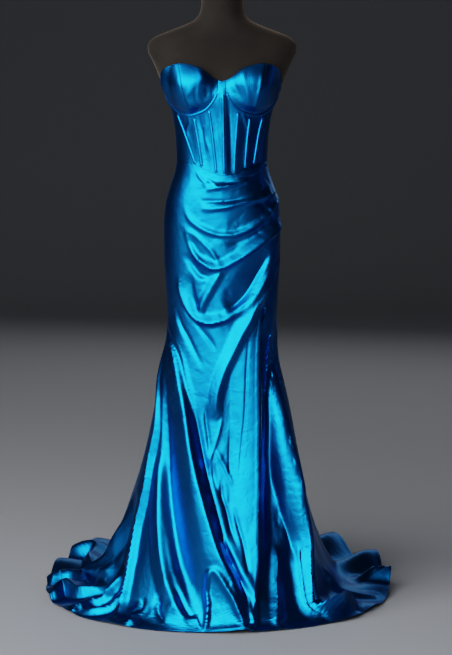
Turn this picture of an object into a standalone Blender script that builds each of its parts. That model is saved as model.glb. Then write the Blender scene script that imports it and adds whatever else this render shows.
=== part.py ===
"""Strapless evening gown with a boned bodice, a draped front, a slit and a train,
standing on a limbless dress form.

Units are metres, +Z is up and the origin is on the floor, on the axis of the stand.
The front faces -Y and +X is the wearer's left.

Every piece of cloth is cut from one surface. A point of it has an angle round the body
(degrees, 0 at the front centre, positive toward +X) and a level. Down to the floor a level
is a height; below zero it runs out along the floor into the train.
"""

import bmesh
import bpy
import math
import numpy as np

COLLECTION = "evening_gown_on_dress_form"

# ---- cloth and seams
MM = 0.001
CLOTH_THICKNESS = 0.0020
SEAM_GAP = 0.0005
WAIST_GAP = 0.0010
SIDE_GAP = 0.0009
HIP_SEAM_GAP = 0.0013
LAYER_GAP = 0.0005
TRIM_THICKNESS = 0.0013

# ---- bodice
BUST_ANGLE = 38.0
BUST_LEVEL = 1.342
BUST_FULLNESS = 0.027
BUST_SPREAD_ANGLE = 25.0
BUST_SPREAD_LEVEL = 0.043
CUP_SEAM_ANGLE = 36.0
CUP_INNER_END = 3.6
CUP_OUTER_END = 86.0
CUP_PUFF = 0.0025
CUP_RIDGE = 0.0095
CUP_RIDGE_SPREAD = 26.0
CUP_TOP_LIFT = 0.0180
CASING_REACH = 0.0050
TONGUE_HALF_ANGLE = 2.4
WAIST_HEIGHT = 1.170
SIDE_SEAM = 90.0
BONE_CHANNEL_WIDTH = 0.0082
WIRE_CASING_WIDTH = 0.0062

# ---- skirt
HEM_LEVEL = -0.180
FLOOR_CLEARANCE = 0.0005
FOLD_TOE = 0.008
TRAIN_WAVES_TOP = 0.040
BACK_FLUTES_TOP = 0.700
SLIT_TOP_LEVEL = 0.806
UNDERLAP = 0.028
UNDERLAP_TAPER = 0.014
UNDERLAP_DROP = 0.0065
UNDERLAP_RISE = 0.050
CROWDING = 1.5
SLIT_HOLLOW = 0.008
SLIT_HOLLOW_WIDTH = 0.060
UNDERLAP_END = SLIT_TOP_LEVEL + 0.050
FLAP_RISE = CLOTH_THICKNESS + 0.0010
FLAP_START = 15.5
FLAP_END = 71.0
FLAP_BELOW_SEAM = 0.002

# ---- form and stand
FORM_CLEARANCE = 0.0006
HIP_CLEARANCE = 0.0022
FORM_FULLNESS = 0.60 * BUST_FULLNESS
FORM_BOTTOM = 0.860
NECK_TOP = 1.600
POLE_RADIUS = 0.016
BASE_RADIUS = 0.145
BASE_THICKNESS = 0.008
BASE_BEVEL = 0.0015
FACE_GAP = 0.0003

# ---- zip
ZIP_WIDTH = 0.0060
ZIP_LIFT = 0.0009
ZIP_TOP = 1.3330
ZIP_BOTTOM = 1.0000
SLIDER_SIZE = (0.0080, 0.0022, 0.0100)
SLIDER_MIDDLE = 1.3240
HINGE_RISE = 0.0024
HINGE_PIN_RADIUS = 0.0006
KNUCKLE_BORE = 0.0010
KNUCKLE_RADIUS = 0.0018
KNUCKLE_WIDTH = 0.0022
POST_WIDTH = 0.0010
TAB_WIDTH = 0.0050
TAB_LENGTH = 0.0220
TAB_THICKNESS = 0.0012

# Sections of the body and skirt, top to hem: level, height, middle along X, half width, then
# the places along Y of the front, the widest line and the back.
SECTIONS = [
    (1.440, 1.440, 0.000, 0.1900, -0.062, 0.010, 0.0850),
    (1.400, 1.400, 0.000, 0.1720, -0.085, 0.008, 0.0980),
    (1.355, 1.355, 0.000, 0.1530, -0.100, 0.006, 0.1040),
    (1.320, 1.320, 0.000, 0.1390, -0.101, 0.004, 0.1030),
    (1.284, 1.284, 0.000, 0.1265, -0.0985, 0.003, 0.1000),
    (1.220, 1.220, 0.000, 0.1185, -0.0925, 0.001, 0.0930),
    (1.169, 1.169, 0.000, 0.1165, -0.0905, 0.000, 0.0905),
    (1.140, 1.140, 0.000, 0.1210, -0.0925, 0.001, 0.0945),
    (1.100, 1.100, 0.000, 0.1340, -0.0985, 0.002, 0.1080),
    (1.054, 1.054, 0.000, 0.1460, -0.1030, 0.005, 0.1240),
    (1.000, 1.000, 0.000, 0.1505, -0.1045, 0.008, 0.1340),
    (0.920, 0.920, 0.000, 0.1500, -0.1040, 0.008, 0.1360),
    (0.840, 0.840, 0.000, 0.1455, -0.1030, 0.006, 0.1280),
    (0.755, 0.755, 0.000, 0.1420, -0.1025, 0.006, 0.1220),
    (0.680, 0.680, 0.000, 0.1500, -0.1060, 0.008, 0.1360),
    (0.597, 0.597, 0.000, 0.1640, -0.1130, 0.013, 0.1650),
    (0.512, 0.512, 0.000, 0.1800, -0.1220, 0.020, 0.2000),
    (0.428, 0.428, -0.002, 0.1960, -0.1350, 0.028, 0.2400),
    (0.343, 0.343, -0.004, 0.2160, -0.1540, 0.038, 0.2850),
    (0.257, 0.257, -0.009, 0.2360, -0.1780, 0.050, 0.3350),
    (0.170, 0.170, -0.012, 0.2620, -0.2080, 0.066, 0.3880),
    (0.085, 0.085, -0.013, 0.2980, -0.2440, 0.084, 0.4450),
    (0.010, 0.034, -0.014, 0.3360, -0.2680, 0.100, 0.5000),
    (-0.060, 0.0150, -0.014, 0.3830, -0.2775, 0.112, 0.5600),
    (-0.180, 0.0035, -0.013, 0.4620, -0.2860, 0.130, 0.6600),
    (-0.200, 0.0016, -0.013, 0.4750, -0.2874, 0.133, 0.6760),
]

# Sections of the form above the gown, bottom to top, in the same columns but the first.
SHOULDER_SECTIONS = [
    (1.440, 0.1900, -0.062, 0.010, 0.0850),
    (1.462, 0.1905, -0.052, 0.012, 0.0810),
    (1.480, 0.1760, -0.046, 0.014, 0.0760),
    (1.497, 0.1370, -0.042, 0.016, 0.0720),
    (1.512, 0.0980, -0.040, 0.017, 0.0680),
    (1.525, 0.0720, -0.040, 0.017, 0.0660),
    (1.542, 0.0580, -0.040, 0.015, 0.0620),
    (1.565, 0.0530, -0.041, 0.012, 0.0590),
    (NECK_TOP, 0.0520, -0.042, 0.010, 0.0570),
]

# Heights of the form's rings, closer together where its profile turns.
FORM_RINGS = [
    FORM_BOTTOM, 0.900, 0.960, 1.020, 1.065, 1.095, 1.115, 1.132, 1.146, 1.158, 1.170, 1.184, 1.202,
    1.225, 1.250, 1.272, 1.290, 1.308, 1.326, 1.344, 1.362, 1.380, 1.398, 1.418, 1.440, 1.458, 1.474,
    1.490, 1.506, 1.520, 1.536, 1.556, NECK_TOP,
]

# Edges, as levels at angles from the front centre, the same on both sides.
NECKLINE = [  # angle, level
    (0, 1.366), (7, 1.373), (15, 1.384), (23, 1.392), (32, 1.398), (41, 1.399),
    (49, 1.397), (57, 1.389), (65, 1.373), (78, 1.356), (90, 1.351), (135, 1.345), (180, 1.340),
]
UNDERWIRE = [  # angle, level
    (2.8, 1.358), (4, 1.345), (6, 1.331), (9.5, 1.316), (13, 1.306), (19, 1.295), (26, 1.288), (33, 1.284),
    (40, 1.282), (49, 1.284), (57, 1.288), (66, 1.297), (73, 1.307), (80, 1.321), (85, 1.335), (88, 1.346),
]
WAIST_SEAM = [  # angle, level
    (-180, 1.172), (-90, 1.170), (-60, 1.166), (-44, 1.162), (-28, 1.152), (-14, 1.140), (0, 1.131),
    (13, 1.134), (29, 1.147), (47, 1.157), (75, 1.167), (90, 1.169), (180, 1.172),
]
SLIT_EDGE = [  # level, angle of the drape's free edge
    (HEM_LEVEL, 10.0), (-0.099, 12.5), (0.060, 17.8), (0.161, 21.2), (0.308, 24.2), (0.509, 28.8),
    (0.699, 36.0), (0.737, 39.5), (0.806, 46.0), (0.880, 56.0), (0.953, 62.0), (1.030, 65.5),
    (1.100, 70.0), (1.172, 78.0),
]

FLAP_LOWER_EDGE = [  # angle, level
    (14.0, 1.1315), (25.0, 1.127), (38.0, 1.130), (55.0, 1.143), (72.0, 1.157),
]

# Places where the columns of the bodice's pieces stand, the same on both sides
COLUMN_PLACES = [
    0.0, TONGUE_HALF_ANGLE, TONGUE_HALF_ANGLE + 0.9, 5.0, 7.5, 11.0, 15.0, 20.0, 25.0, 30.5, 36.0, 42.0,
    49.0, 56.0, 63.0, 69.0, 75.0, 80.5, CUP_OUTER_END, CUP_OUTER_END + 0.6, 98.0, 107.0, 116.0, 126.0,
    136.0, 147.0, 158.0, 169.0,
]

# Seams of the bodice: name, angle at the waist, angle at the top.
SEAM_SIDE_FRONT_RIGHT = (-36.0, -63.0)
SEAM_CENTER_RIGHT = (-26.0, -34.0)
SEAM_CENTER_LEFT = (30.0, 34.0)
SEAM_SIDE_FRONT_LEFT = (44.0, 54.0)

# Place along a wire casing, angle
CASING_PLACES = [(0.0, 5.2), (0.18, 10.0), (0.5, 38.0), (0.85, 73.0), (1.0, 84.0)]

# Bone channels: angle at the waist, angle at the top, level at the top
BONE_CHANNELS = [
    (-36.0, -63.0, 1.287),
    (-26.0, -34.0, 1.277),
    (-7.0, -14.5, 1.297),
    (2.5, 0.8, 1.336),
    (15.0, 18.5, 1.291),
    (30.0, 34.0, 1.277),
    (44.0, 54.0, 1.281),
]
BACK_BONE_CHANNELS = [("right", -135.0), ("left", 135.0)]

# Folds of the skirt, in millimetres: height of the ridge (negative for a hollow), how far it
# spreads on its first side and on its second, the radius of its crest and how far the crest
# leans to the first side. The first side is the upper one of a fold that runs from the wearer's
# right to the left, and the wearer's left of one that runs down. The run gives angle, level
# and strength.
HIP_FOLDS = [
    (8.0, 14, 14, 5.0, 0.0, [(-22, 1.047, 0.0), (-13, 1.047, 0.5), (-3, 1.050, 0.8), (7, 1.054, 1.0),
                             (24, 1.065, 1.0), (41, 1.073, 1.0), (57, 1.081, 0.6), (76, 1.090, 0.2)]),
    (6.0, 14, 14, 5.0, 0.0, [(-42, 1.059, 0.0), (-38, 1.039, 0.2), (-33, 1.021, 0.5), (-25, 1.006, 0.8),
                             (-13, 0.990, 1.0), (-1, 0.982, 1.0), (9, 0.982, 1.0), (21, 0.991, 1.0),
                             (36, 1.011, 1.0), (47, 1.029, 1.0), (61, 1.052, 0.8), (81, 1.079, 0.3)]),
    (11.0, 18, 14, 5.0, 0.0, [(-40, 1.009, 0.0), (-34, 0.968, 0.3), (-27, 0.931, 0.6),
                              (-18, 0.911, 1.0), (-8, 0.898, 1.0), (1, 0.902, 1.0), (12, 0.917, 1.0),
                              (26, 0.941, 1.0), (42, 0.969, 1.0), (57, 0.990, 1.0), (68, 1.006, 0.5)]),
    (-8.0, 14, 14, 5.0, 0.0, [(-38, 0.935, 0.0), (-33, 0.915, 0.7), (-28, 0.898, 1.0),
                              (-21, 0.880, 1.0), (-12, 0.876, 0.2)]),
    (9.0, 34, 70, 12.0, 0.0, [(62, 1.085, 0.0), (59, 1.040, 0.6), (56, 1.000, 1.0), (52, 0.930, 1.0),
                              (49, 0.880, 0.7), (45, 0.810, 0.0)]),
    (12.0, 20, 14, 5.0, 0.0, [(-49, 0.877, 0.0), (-48, 0.844, 0.3), (-42, 0.812, 0.6),
                              (-34, 0.784, 0.8), (-24, 0.766, 1.0), (-13, 0.760, 1.0), (1, 0.767, 0.9),
                              (11, 0.779, 0.7), (17, 0.786, 0.6), (29, 0.813, 0.5), (40, 0.850, 0.5),
                              (48, 0.888, 0.5), (57, 0.925, 0.4), (66, 0.950, 0.1)]),
    (8.0, 14, 16, 5.0, 0.0, [(1, 0.898, 0.0), (-6, 0.867, 1.0), (-14, 0.832, 1.0), (-21, 0.798, 1.0),
                             (-24, 0.775, 0.2)]),
    (-9.0, 45, 14, 5.0, 0.0, [(4, 0.787, 0.0), (13, 0.800, 0.8), (26, 0.836, 1.0), (36, 0.876, 1.0),
                              (44, 0.911, 0.8), (50, 0.941, 0.0)]),
    (14.0, 16, 24, 5.0, 0.0, [(74, 0.933, 0.1), (53, 0.861, 1.0), (41, 0.819, 1.0), (34, 0.799, 1.0),
                              (26, 0.759, 1.0), (18, 0.724, 1.0), (9, 0.676, 1.0), (0, 0.618, 1.0),
                              (-4, 0.575, 1.0), (-5, 0.544, 0.8), (-3, 0.511, 0.0)]),
]
SKIRT_FOLDS = [
    (16.0, 20, 26, 6.0, 0.0, [(-82, 0.703, 0.0), (-82, 0.624, 0.5), (-70, 0.549, 0.7),
                              (-63, 0.473, 0.8), (-61, 0.395, 1.0), (-58, 0.321, 1.0),
                              (-57, 0.242, 1.0), (-54, 0.166, 1.0), (-51, 0.107, 1.0),
                              (-47, 0.034, 0.9), (-41, -0.061, 0.2)]),
    (12.0, 20, 36, 6.0, 0.0, [(-53, 0.412, 0.0), (-47, 0.350, 0.6), (-43, 0.301, 0.8),
                              (-37, 0.228, 1.0), (-32, 0.170, 1.0), (-26, 0.115, 1.0),
                              (-20, 0.065, 0.8), (-15, 0.015, 0.4)]),
    (-18.0, 70, 20, 6.0, 0.0, [(-69, 0.693, 0.0), (-56, 0.566, 0.5), (-50, 0.491, 0.8),
                               (-44, 0.415, 1.0), (-38, 0.331, 1.0), (-31, 0.256, 1.0),
                               (-22, 0.162, 1.0), (-16, 0.111, 0.8), (-10, 0.039, 0.4)]),
    (40.0, 20, 85, 6.0, 0.0, [(-69, 0.711, 0.0), (-48, 0.654, 0.3), (-33, 0.559, 0.6),
                              (-24, 0.458, 0.8), (-15, 0.360, 0.9), (-6, 0.262, 1.0), (1, 0.176, 1.0),
                              (6, 0.126, 0.8), (9, 0.070, 0.5), (11, 0.010, 0.2), (12, -0.050, 0.0)]),
    (12.0, 26, 65, 6.0, 0.0, [(45, 0.814, 0.3), (40, 0.737, 0.8), (34, 0.661, 1.0), (29, 0.509, 1.0),
                              (24, 0.308, 1.0), (21, 0.161, 1.0), (17, 0.061, 0.7), (14, -0.046, 0.2)]),
    (9.0, 20, 20, 6.0, 0.0, [(-3, 0.149, 0.0), (-4, 0.133, 0.9), (-5, 0.094, 1.0), (-4, 0.053, 1.0),
                             (-4, -0.037, 0.3), (-4, -0.156, 0.2)]),
    (9.0, 20, 20, 6.0, 0.0, [(-3, 0.149, 0.0), (0, 0.133, 0.9), (4, 0.102, 1.0), (8, 0.055, 1.0),
                             (10, -0.011, 1.0), (9, -0.121, 0.2)]),
]
SLIT_SIDE_FOLDS = [
    (36.0, 32, 85, 4.0, -66.0, [(82, 0.640, 0.0), (78, 0.560, 0.3), (74, 0.480, 0.6), (72, 0.376, 0.8),
                                (71, 0.298, 1.0), (70, 0.226, 1.1), (67, 0.162, 1.1), (62, 0.108, 1.0),
                                (56, 0.021, 0.8), (54, -0.100, 0.2)]),
    (-34.0, 80, 40, 4.0, 0.0, [(77, 0.730, 0.0), (66, 0.642, 0.6), (57, 0.553, 1.0), (50, 0.452, 1.0),
                               (42, 0.329, 0.9), (38, 0.228, 0.7), (31, 0.145, 0.4), (26, 0.055, 0.1)]),
    (8.0, 26, 20, 4.0, 0.0, [(39, 0.195, 0.0), (36, 0.156, 0.8), (32, 0.112, 1.0), (29, 0.058, 1.0),
                             (26, 0.000, 1.0), (24, -0.036, 0.3), (22, -0.120, 0.2)]),
    (16.0, 16, 20, 4.0, 0.0, [(54, 0.190, 0.0), (48, 0.141, 0.9), (46, 0.105, 1.0), (44, 0.070, 1.0),
                              (42, 0.015, 1.0), (40, -0.060, 0.3), (38, -0.120, 0.1)]),
    (8.0, 12, 12, 4.0, 0.0, [(66, 0.230, 0.0), (62, 0.176, 1.0), (57, 0.118, 1.0), (53, 0.070, 1.0),
                             (47, 0.010, 0.5)]),
]
TRAIN_FOLDS = [
    (8.0, 40, 30, 6.0, 0.0, [(-84, 0.300, 0.0), (-82, 0.220, 0.5), (-84, 0.140, 1.0), (-86, 0.070, 1.0),
                             (-84, 0.000, 0.8), (-80, -0.080, 0.3)]),
    (-7.0, 24, 50, 6.0, 0.0, [(-74, 0.300, 0.0), (-72, 0.220, 0.6), (-70, 0.160, 1.0),
                              (-67, 0.120, 1.0), (-65, 0.070, 1.0), (-60, 0.020, 0.3)]),
    (20.0, 30, 50, 6.0, 0.0, [(-84, 0.090, 0.0), (-108, -0.020, 0.6), (-122, -0.090, 1.0),
                              (-120, -0.150, 1.0), (-117, -0.190, 0.8)]),
    (17.0, 30, 45, 6.0, 0.0, [(-74, 0.110, 0.0), (-80, 0.065, 0.6), (-90, -0.001, 1.0),
                              (-94, -0.081, 1.0), (-93, -0.147, 0.9)]),
    (14.0, 30, 40, 6.0, 0.0, [(-70, 0.056, 0.0), (-72, 0.020, 0.6), (-74, -0.041, 1.0),
                              (-80, -0.100, 1.0), (-75, -0.152, 0.8)]),
    (8.0, 24, 36, 6.0, 0.0, [(-56, 0.120, 0.0), (-57, 0.090, 0.6), (-59, 0.030, 1.0),
                             (-59, -0.030, 1.0), (-56, -0.115, 0.8)]),
    (6.0, 24, 30, 6.0, 0.0, [(-52, 0.060, 0.0), (-50, 0.020, 0.8), (-49, -0.040, 1.0),
                             (-50, -0.100, 1.0), (-54, -0.140, 0.5)]),
    (21.0, 40, 40, 6.0, 0.0, [(95, -0.020, 0.0), (94, -0.070, 0.5), (92, -0.120, 1.0), (90, -0.180, 1.0)]),
    (20.0, 30, 45, 6.0, 0.0, [(42, -0.020, 0.0), (47, -0.030, 0.7), (52, -0.040, 1.0),
                              (57, -0.045, 1.0), (61, -0.060, 0.8), (64, -0.090, 0.0)]),
    (14.0, 30, 20, 4.0, 0.0, [(66, 0.130, 0.0), (73, 0.060, 1.0), (74, -0.034, 1.0), (75, -0.125, 0.6)]),
]

# Waves of the train along the floor: angle, height, half width in degrees
TRAIN_WAVES = [
    (-128, 0.046, 9.0), (-104, 0.032, 8.0), (-84, 0.018, 7.0), (-62, 0.010, 6.0), (-36, 0.006, 7.0),
    (8, 0.011, 9.0), (62, 0.012, 7.0), (86, 0.024, 8.0), (108, 0.046, 8.0),
    (132, 0.050, 9.0), (157, 0.050, 9.0), (180, 0.040, 8.0), (-155, 0.048, 9.0),
]

# Flutes of the back: angle, height at the hem, half width in degrees
BACK_FLUTES = [
    (-160, 0.030, 9.0), (-135, 0.026, 8.0), (-110, 0.024, 8.0), (110, 0.024, 8.0), (136, 0.028, 8.0),
    (161, 0.030, 9.0),
]


# ------------------------------------------------------------------ curves through tables

def smooth_curve(table, where):
    """Values of a table's other columns at places along its first one, without overshoot."""
    rows = np.array(sorted(table), dtype=float)
    places, values = rows[:, 0], rows[:, 1:]
    step = np.diff(places)[:, None]
    slope = np.diff(values, axis=0) / step
    tangent = np.zeros_like(values)
    tangent[0], tangent[-1] = slope[0], slope[-1]
    before, after = slope[:-1], slope[1:]
    same_way = before * after > 0.0
    weight_1 = 2.0 * step[1:] + step[:-1]
    weight_2 = step[1:] + 2.0 * step[:-1]
    safe_before = np.where(same_way, before, 1.0)
    safe_after = np.where(same_way, after, 1.0)
    mean = (weight_1 + weight_2) / (weight_1 / safe_before + weight_2 / safe_after)
    tangent[1:-1] = np.where(same_way, mean, 0.0)
    where = np.clip(np.asarray(where, dtype=float), places[0], places[-1])
    left = np.clip(np.searchsorted(places, where, side="right") - 1, 0, len(places) - 2)
    width = step[left, 0][..., None]
    t = (where - places[left])[..., None] / width
    return (values[left] * (1 + 2 * t) * (1 - t) ** 2 + width * tangent[left] * t * (1 - t) ** 2
            + values[left + 1] * t * t * (3 - 2 * t) + width * tangent[left + 1] * t * t * (t - 1))


def smooth_step(value, start, end):
    """0 before the start, 1 past the end and an even rise between them."""
    t = np.clip((value - start) / (end - start), 0.0, 1.0)
    return t * t * (3.0 - 2.0 * t)


def neckline(angle):
    return smooth_curve(NECKLINE, np.abs(angle))[..., 0]


def underwire(angle):
    return smooth_curve(UNDERWIRE, np.abs(angle))[..., 0]


def waist_seam(angle):
    return smooth_curve(WAIST_SEAM, angle)[..., 0]


def slit_edge(level):
    return smooth_curve(SLIT_EDGE, level)[..., 0]


# ------------------------------------------------------------------ the surface of the gown

def body_point(angle, level, fullness=BUST_FULLNESS):
    """The body's and skirt's surface without folds."""
    angle, level = np.broadcast_arrays(angle, level)
    section = smooth_curve(SECTIONS, level)
    height, middle, half_width, front, widest, back = np.moveaxis(section, -1, 0)
    turn = np.radians(angle)
    depth = np.where(np.cos(turn) > 0.0, widest - front, back - widest)
    bust = sum(np.exp(-((angle - side) / BUST_SPREAD_ANGLE) ** 2) for side in (-BUST_ANGLE, BUST_ANGLE))
    bust = fullness * bust * np.exp(-((level - BUST_LEVEL) / BUST_SPREAD_LEVEL) ** 2)
    x = middle + (half_width + 0.35 * bust) * np.sin(turn)
    y = widest - (depth + bust) * np.cos(turn)
    return np.stack([x, y, height], axis=-1)


def surface_normal(point_at, angle, level):
    """Unit normals that point out of the gown, from a surface function."""
    turn, rise = 0.4, 0.0015
    across = point_at(angle + turn, level) - point_at(angle - turn, level)
    along = point_at(angle, level + rise) - point_at(angle, level - rise)
    normal = np.cross(across, along)
    return normal / np.linalg.norm(normal, axis=-1, keepdims=True)


def unit(vectors):
    return vectors / np.maximum(np.linalg.norm(vectors, axis=-1, keepdims=True), 1e-9)


def prepare_run(fold, count=60):
    """A fold's line on the plain surface, with its direction and the way its first side lies."""
    height, first_side, second_side, crest, lean, run = fold
    rows = [(index,) + tuple(row) for index, row in enumerate(run)]
    line = smooth_curve(rows, np.linspace(0, len(run) - 1, count))
    points = body_point(line[:, 0], line[:, 1])
    ahead = unit(np.gradient(points, axis=0))
    side = unit(np.cross(surface_normal(body_point, line[:, 0], line[:, 1]), ahead))
    reach = 1.7 * max(first_side, second_side) * MM
    return {
        "height": height * MM, "first": first_side * MM, "second": second_side * MM,
        "crest": crest * MM, "lean": lean * MM, "strength": line[:, 2],
        "points": points, "ahead": ahead, "side": side,
        "low": points.min(axis=0) - reach, "high": points.max(axis=0) + reach,
    }


ALL_RUNS = [prepare_run(fold) for fold in HIP_FOLDS + SKIRT_FOLDS + SLIT_SIDE_FOLDS + TRAIN_FOLDS]


def ridges_round(table, angle):
    """Ridges that stand round the body at the angles of a table."""
    total = np.zeros(np.shape(angle))
    for middle, height, half_width in table:
        turn = (angle - middle + 180.0) % 360.0 - 180.0
        total += height * np.exp(-(turn / half_width) ** 2)
    return total


def add_runs(plain, rise, slide):
    """Add the folds to the rise off the plain surface and to the slide along it."""
    for run in ALL_RUNS:
        inside = np.flatnonzero(((plain > run["low"]) & (plain < run["high"])).all(axis=1))
        offset = plain[inside, None, :] - run["points"]
        nearest = (offset ** 2).sum(axis=2).argmin(axis=1)
        offset = offset[np.arange(len(inside)), nearest]
        along = (offset * run["ahead"][nearest]).sum(axis=1)
        at_end = (nearest == 0) | (nearest == len(run["points"]) - 1)
        beyond = np.where(at_end, along, 0.0)
        across = (offset * run["side"][nearest]).sum(axis=1)
        spread = np.where(across > 0.0, run["first"], run["second"])
        away = np.sqrt(across ** 2 + beyond ** 2 + run["crest"] ** 2) - run["crest"]
        drop = 1.0 - away / spread
        toe = np.minimum(FOLD_TOE / spread, 0.5)
        shape = run["strength"][nearest] * 0.5 * (drop + np.sqrt(drop ** 2 + toe ** 2))
        rise[inside] += run["height"] * shape
        slide[inside] += (run["lean"] * shape)[:, None] * run["side"][nearest]


def cup_puff(angle, level):
    """How far a cup's panels stand off the plain surface, ridged along the seam between them."""
    wire, top = underwire(angle) + CASING_REACH, neckline(angle)
    away = np.abs(angle)
    up = np.clip((level - wire) / np.maximum(top - wire, 1e-4), 0.0, 1.0)
    ends = smooth_step(away, CUP_INNER_END, 20.0) * smooth_step(CUP_OUTER_END - away, 0.0, 22.0)
    from_seam = np.sqrt((away - CUP_SEAM_ANGLE) ** 2 + 2.0 ** 2) / CUP_RIDGE_SPREAD
    ridge = CUP_RIDGE * np.maximum(1.0 - from_seam, 0.0)
    rise = (CUP_PUFF + ridge) * smooth_step(up, 0.0, 0.35)
    top_lift = CUP_TOP_LIFT * smooth_step(up, 0.35, 1.0) * smooth_step(CUP_OUTER_END - away, 20.0, 52.0)
    return np.where(away < CUP_OUTER_END, ends * (rise + top_lift), 0.0)


def gown_point(angle, level):
    """The outer face of the gown, folds and all."""
    angle, level = np.broadcast_arrays(np.asarray(angle, dtype=float), level)
    shape = angle.shape
    angle, level = angle.ravel(), level.ravel()
    plain = body_point(angle, level)
    rise, slide = np.zeros(len(plain)), np.zeros_like(plain)
    add_runs(plain, rise, slide)
    rise += ridges_round(TRAIN_WAVES, angle) * smooth_step(-level, -TRAIN_WAVES_TOP, 0.150)
    rise += ridges_round(BACK_FLUTES, angle) * smooth_step(-level, -BACK_FLUTES_TOP, 0.050)
    off_waist = smooth_step(waist_seam(angle) - level, 0.006, 0.030)[:, None]
    rise = rise[:, None] * off_waist + cup_puff(angle, level)[:, None]
    lift = surface_normal(body_point, angle, level) * rise
    return (plain + lift + slide * off_waist).reshape(shape + (3,))


def degrees_for(distance, angle, level):
    """The turn round the body that makes a distance along the cloth."""
    side = np.linalg.norm(body_point(angle + 0.5, level) - body_point(angle - 0.5, level), axis=-1)
    return distance / side


# ------------------------------------------------------------------ making objects

def clear_scene():
    for old in list(bpy.data.objects):
        bpy.data.objects.remove(old, do_unlink=True)


def make_material(name, color, roughness, metallic=0.0):
    material = bpy.data.materials.new(name)
    material.use_nodes = True
    surface = material.node_tree.nodes["Principled BSDF"]
    surface.inputs["Base Color"].default_value = (*color, 1.0)
    surface.inputs["Roughness"].default_value = roughness
    surface.inputs["Metallic"].default_value = metallic
    return material


def add_object(name, mesh, collection, material_settings):
    part = bpy.data.objects.new(name, mesh)
    collection.objects.link(part)
    mesh.materials.append(make_material(name + "_material", *material_settings))
    mesh.shade_smooth()
    return part


def make_wall(name, columns, rows, point_at, collection, material_settings):
    """A closed wall: a flat grid is extruded, then each face is laid on its own surface.

    point_at takes places across and up the piece (0 to 1) and gives the outer and inner points.
    """
    bm = bmesh.new()
    bmesh.ops.create_grid(bm, x_segments=columns, y_segments=rows, size=0.5)
    inner = bmesh.ops.extrude_face_region(bm, geom=bm.faces[:], use_keep_orig=True)
    for item in inner["geom"]:
        if isinstance(item, bmesh.types.BMVert):
            item.co.z = -1.0
    flat = np.array([vert.co[:] for vert in bm.verts])
    outer_points, inner_points = point_at(flat[:, 0] + 0.5, flat[:, 1] + 0.5)
    placed = np.where(flat[:, 2:] < -0.5, inner_points, outer_points)
    for vert, place in zip(bm.verts, placed):
        vert.co = place
    bmesh.ops.recalc_face_normals(bm, faces=bm.faces[:])
    mesh = bpy.data.meshes.new(name)
    bm.to_mesh(mesh)
    bm.free()
    return add_object(name, mesh, collection, material_settings)


def cloth_wall(angle, level, lift=0.0, thickness=CLOTH_THICKNESS):
    """Outer and inner points of cloth that lies at a lift off the gown's surface."""
    base = gown_point(angle, level)
    normal = surface_normal(gown_point, angle, level)
    lift = np.broadcast_to(lift, angle.shape)[:, None]
    outer, inner = base + normal * lift, base + normal * (lift - thickness)
    outer[:, 2] = np.maximum(outer[:, 2], FLOOR_CLEARANCE + thickness)
    inner[:, 2] = np.maximum(inner[:, 2], FLOOR_CLEARANCE)
    return outer, inner


SATIN = ((0.004, 0.130, 0.360), 0.30)
SATIN_TRIM = ((0.005, 0.150, 0.400), 0.30)
FORM_COVER = ((0.012, 0.010, 0.012), 0.85)
BLACK_METAL = ((0.020, 0.020, 0.022), 0.35, 1.0)
ZIP_METAL = ((0.030, 0.160, 0.360), 0.35, 0.6)


# ------------------------------------------------------------------ bodice

def stops_between(left, right):
    """Angles of a panel's columns at its top: its two seams and the shared places between."""
    shared = [sign * place for place in COLUMN_PLACES for sign in (-1.0, 1.0)]
    inside = {place for place in shared if left + 1.0 < place < right - 1.0}
    return np.array([left] + sorted(inside) + [right])


def pick(values, share):
    """The value of the column that a share of the width stands for."""
    return values[np.rint(share * (len(values) - 1)).astype(int)]


def bodice_top(angle):
    """The top edge of the panels: under the cups, up to the neck between and behind them."""
    away = np.abs(angle)
    below_cup = (away > TONGUE_HALF_ANGLE + 0.4) & (away < CUP_OUTER_END + 0.3)
    return np.where(below_cup, underwire(angle) - 0.5 * SEAM_GAP, neckline(angle))


def bodice_panel(name, left_seam, right_seam, rows, collection):
    """A panel from the waist up, between two seams given as angles at the waist and the top."""
    stops = stops_between(left_seam[1], right_seam[1])
    half_gap = degrees_for(0.5 * SEAM_GAP, np.array([left_seam[0], right_seam[0]]), WAIST_HEIGHT)

    def point_at(across, up):
        top_angle = pick(stops, across)
        share = (top_angle - stops[0]) / (stops[-1] - stops[0])
        waist_angle = left_seam[0] + (right_seam[0] - left_seam[0]) * share
        inward = half_gap[0] * (share == 0.0) - half_gap[1] * (share == 1.0)
        angle = waist_angle + (top_angle - waist_angle) * up + inward
        bottom = waist_seam(waist_angle) + 0.5 * WAIST_GAP
        return cloth_wall(angle, bottom + (bodice_top(top_angle) - bottom) * up)
    return make_wall(name, len(stops) - 1, rows, point_at, collection, SATIN)


def cup_panel(name, start, end, rows, collection):
    """A cup panel between two angles, from the underwire up to the neckline."""
    stops = stops_between(start, end)
    inward = degrees_for(0.5 * SEAM_GAP, np.array(CUP_SEAM_ANGLE), BUST_LEVEL)

    def point_at(across, up):
        angle = pick(stops, across)
        bottom = underwire(angle) + 0.5 * SEAM_GAP
        edge = bottom + CASING_REACH
        level = np.where(up * rows < 1.0, bottom + CASING_REACH * up * rows,
                         edge + (neckline(angle) - edge) * (up * rows - 1.0) / (rows - 1.0))
        angle = angle + inward * ((angle == start) * 1.0 - (angle == end) * 1.0)
        return cloth_wall(angle, level)
    return make_wall(name, len(stops) - 1, rows, point_at, collection, SATIN)


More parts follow.
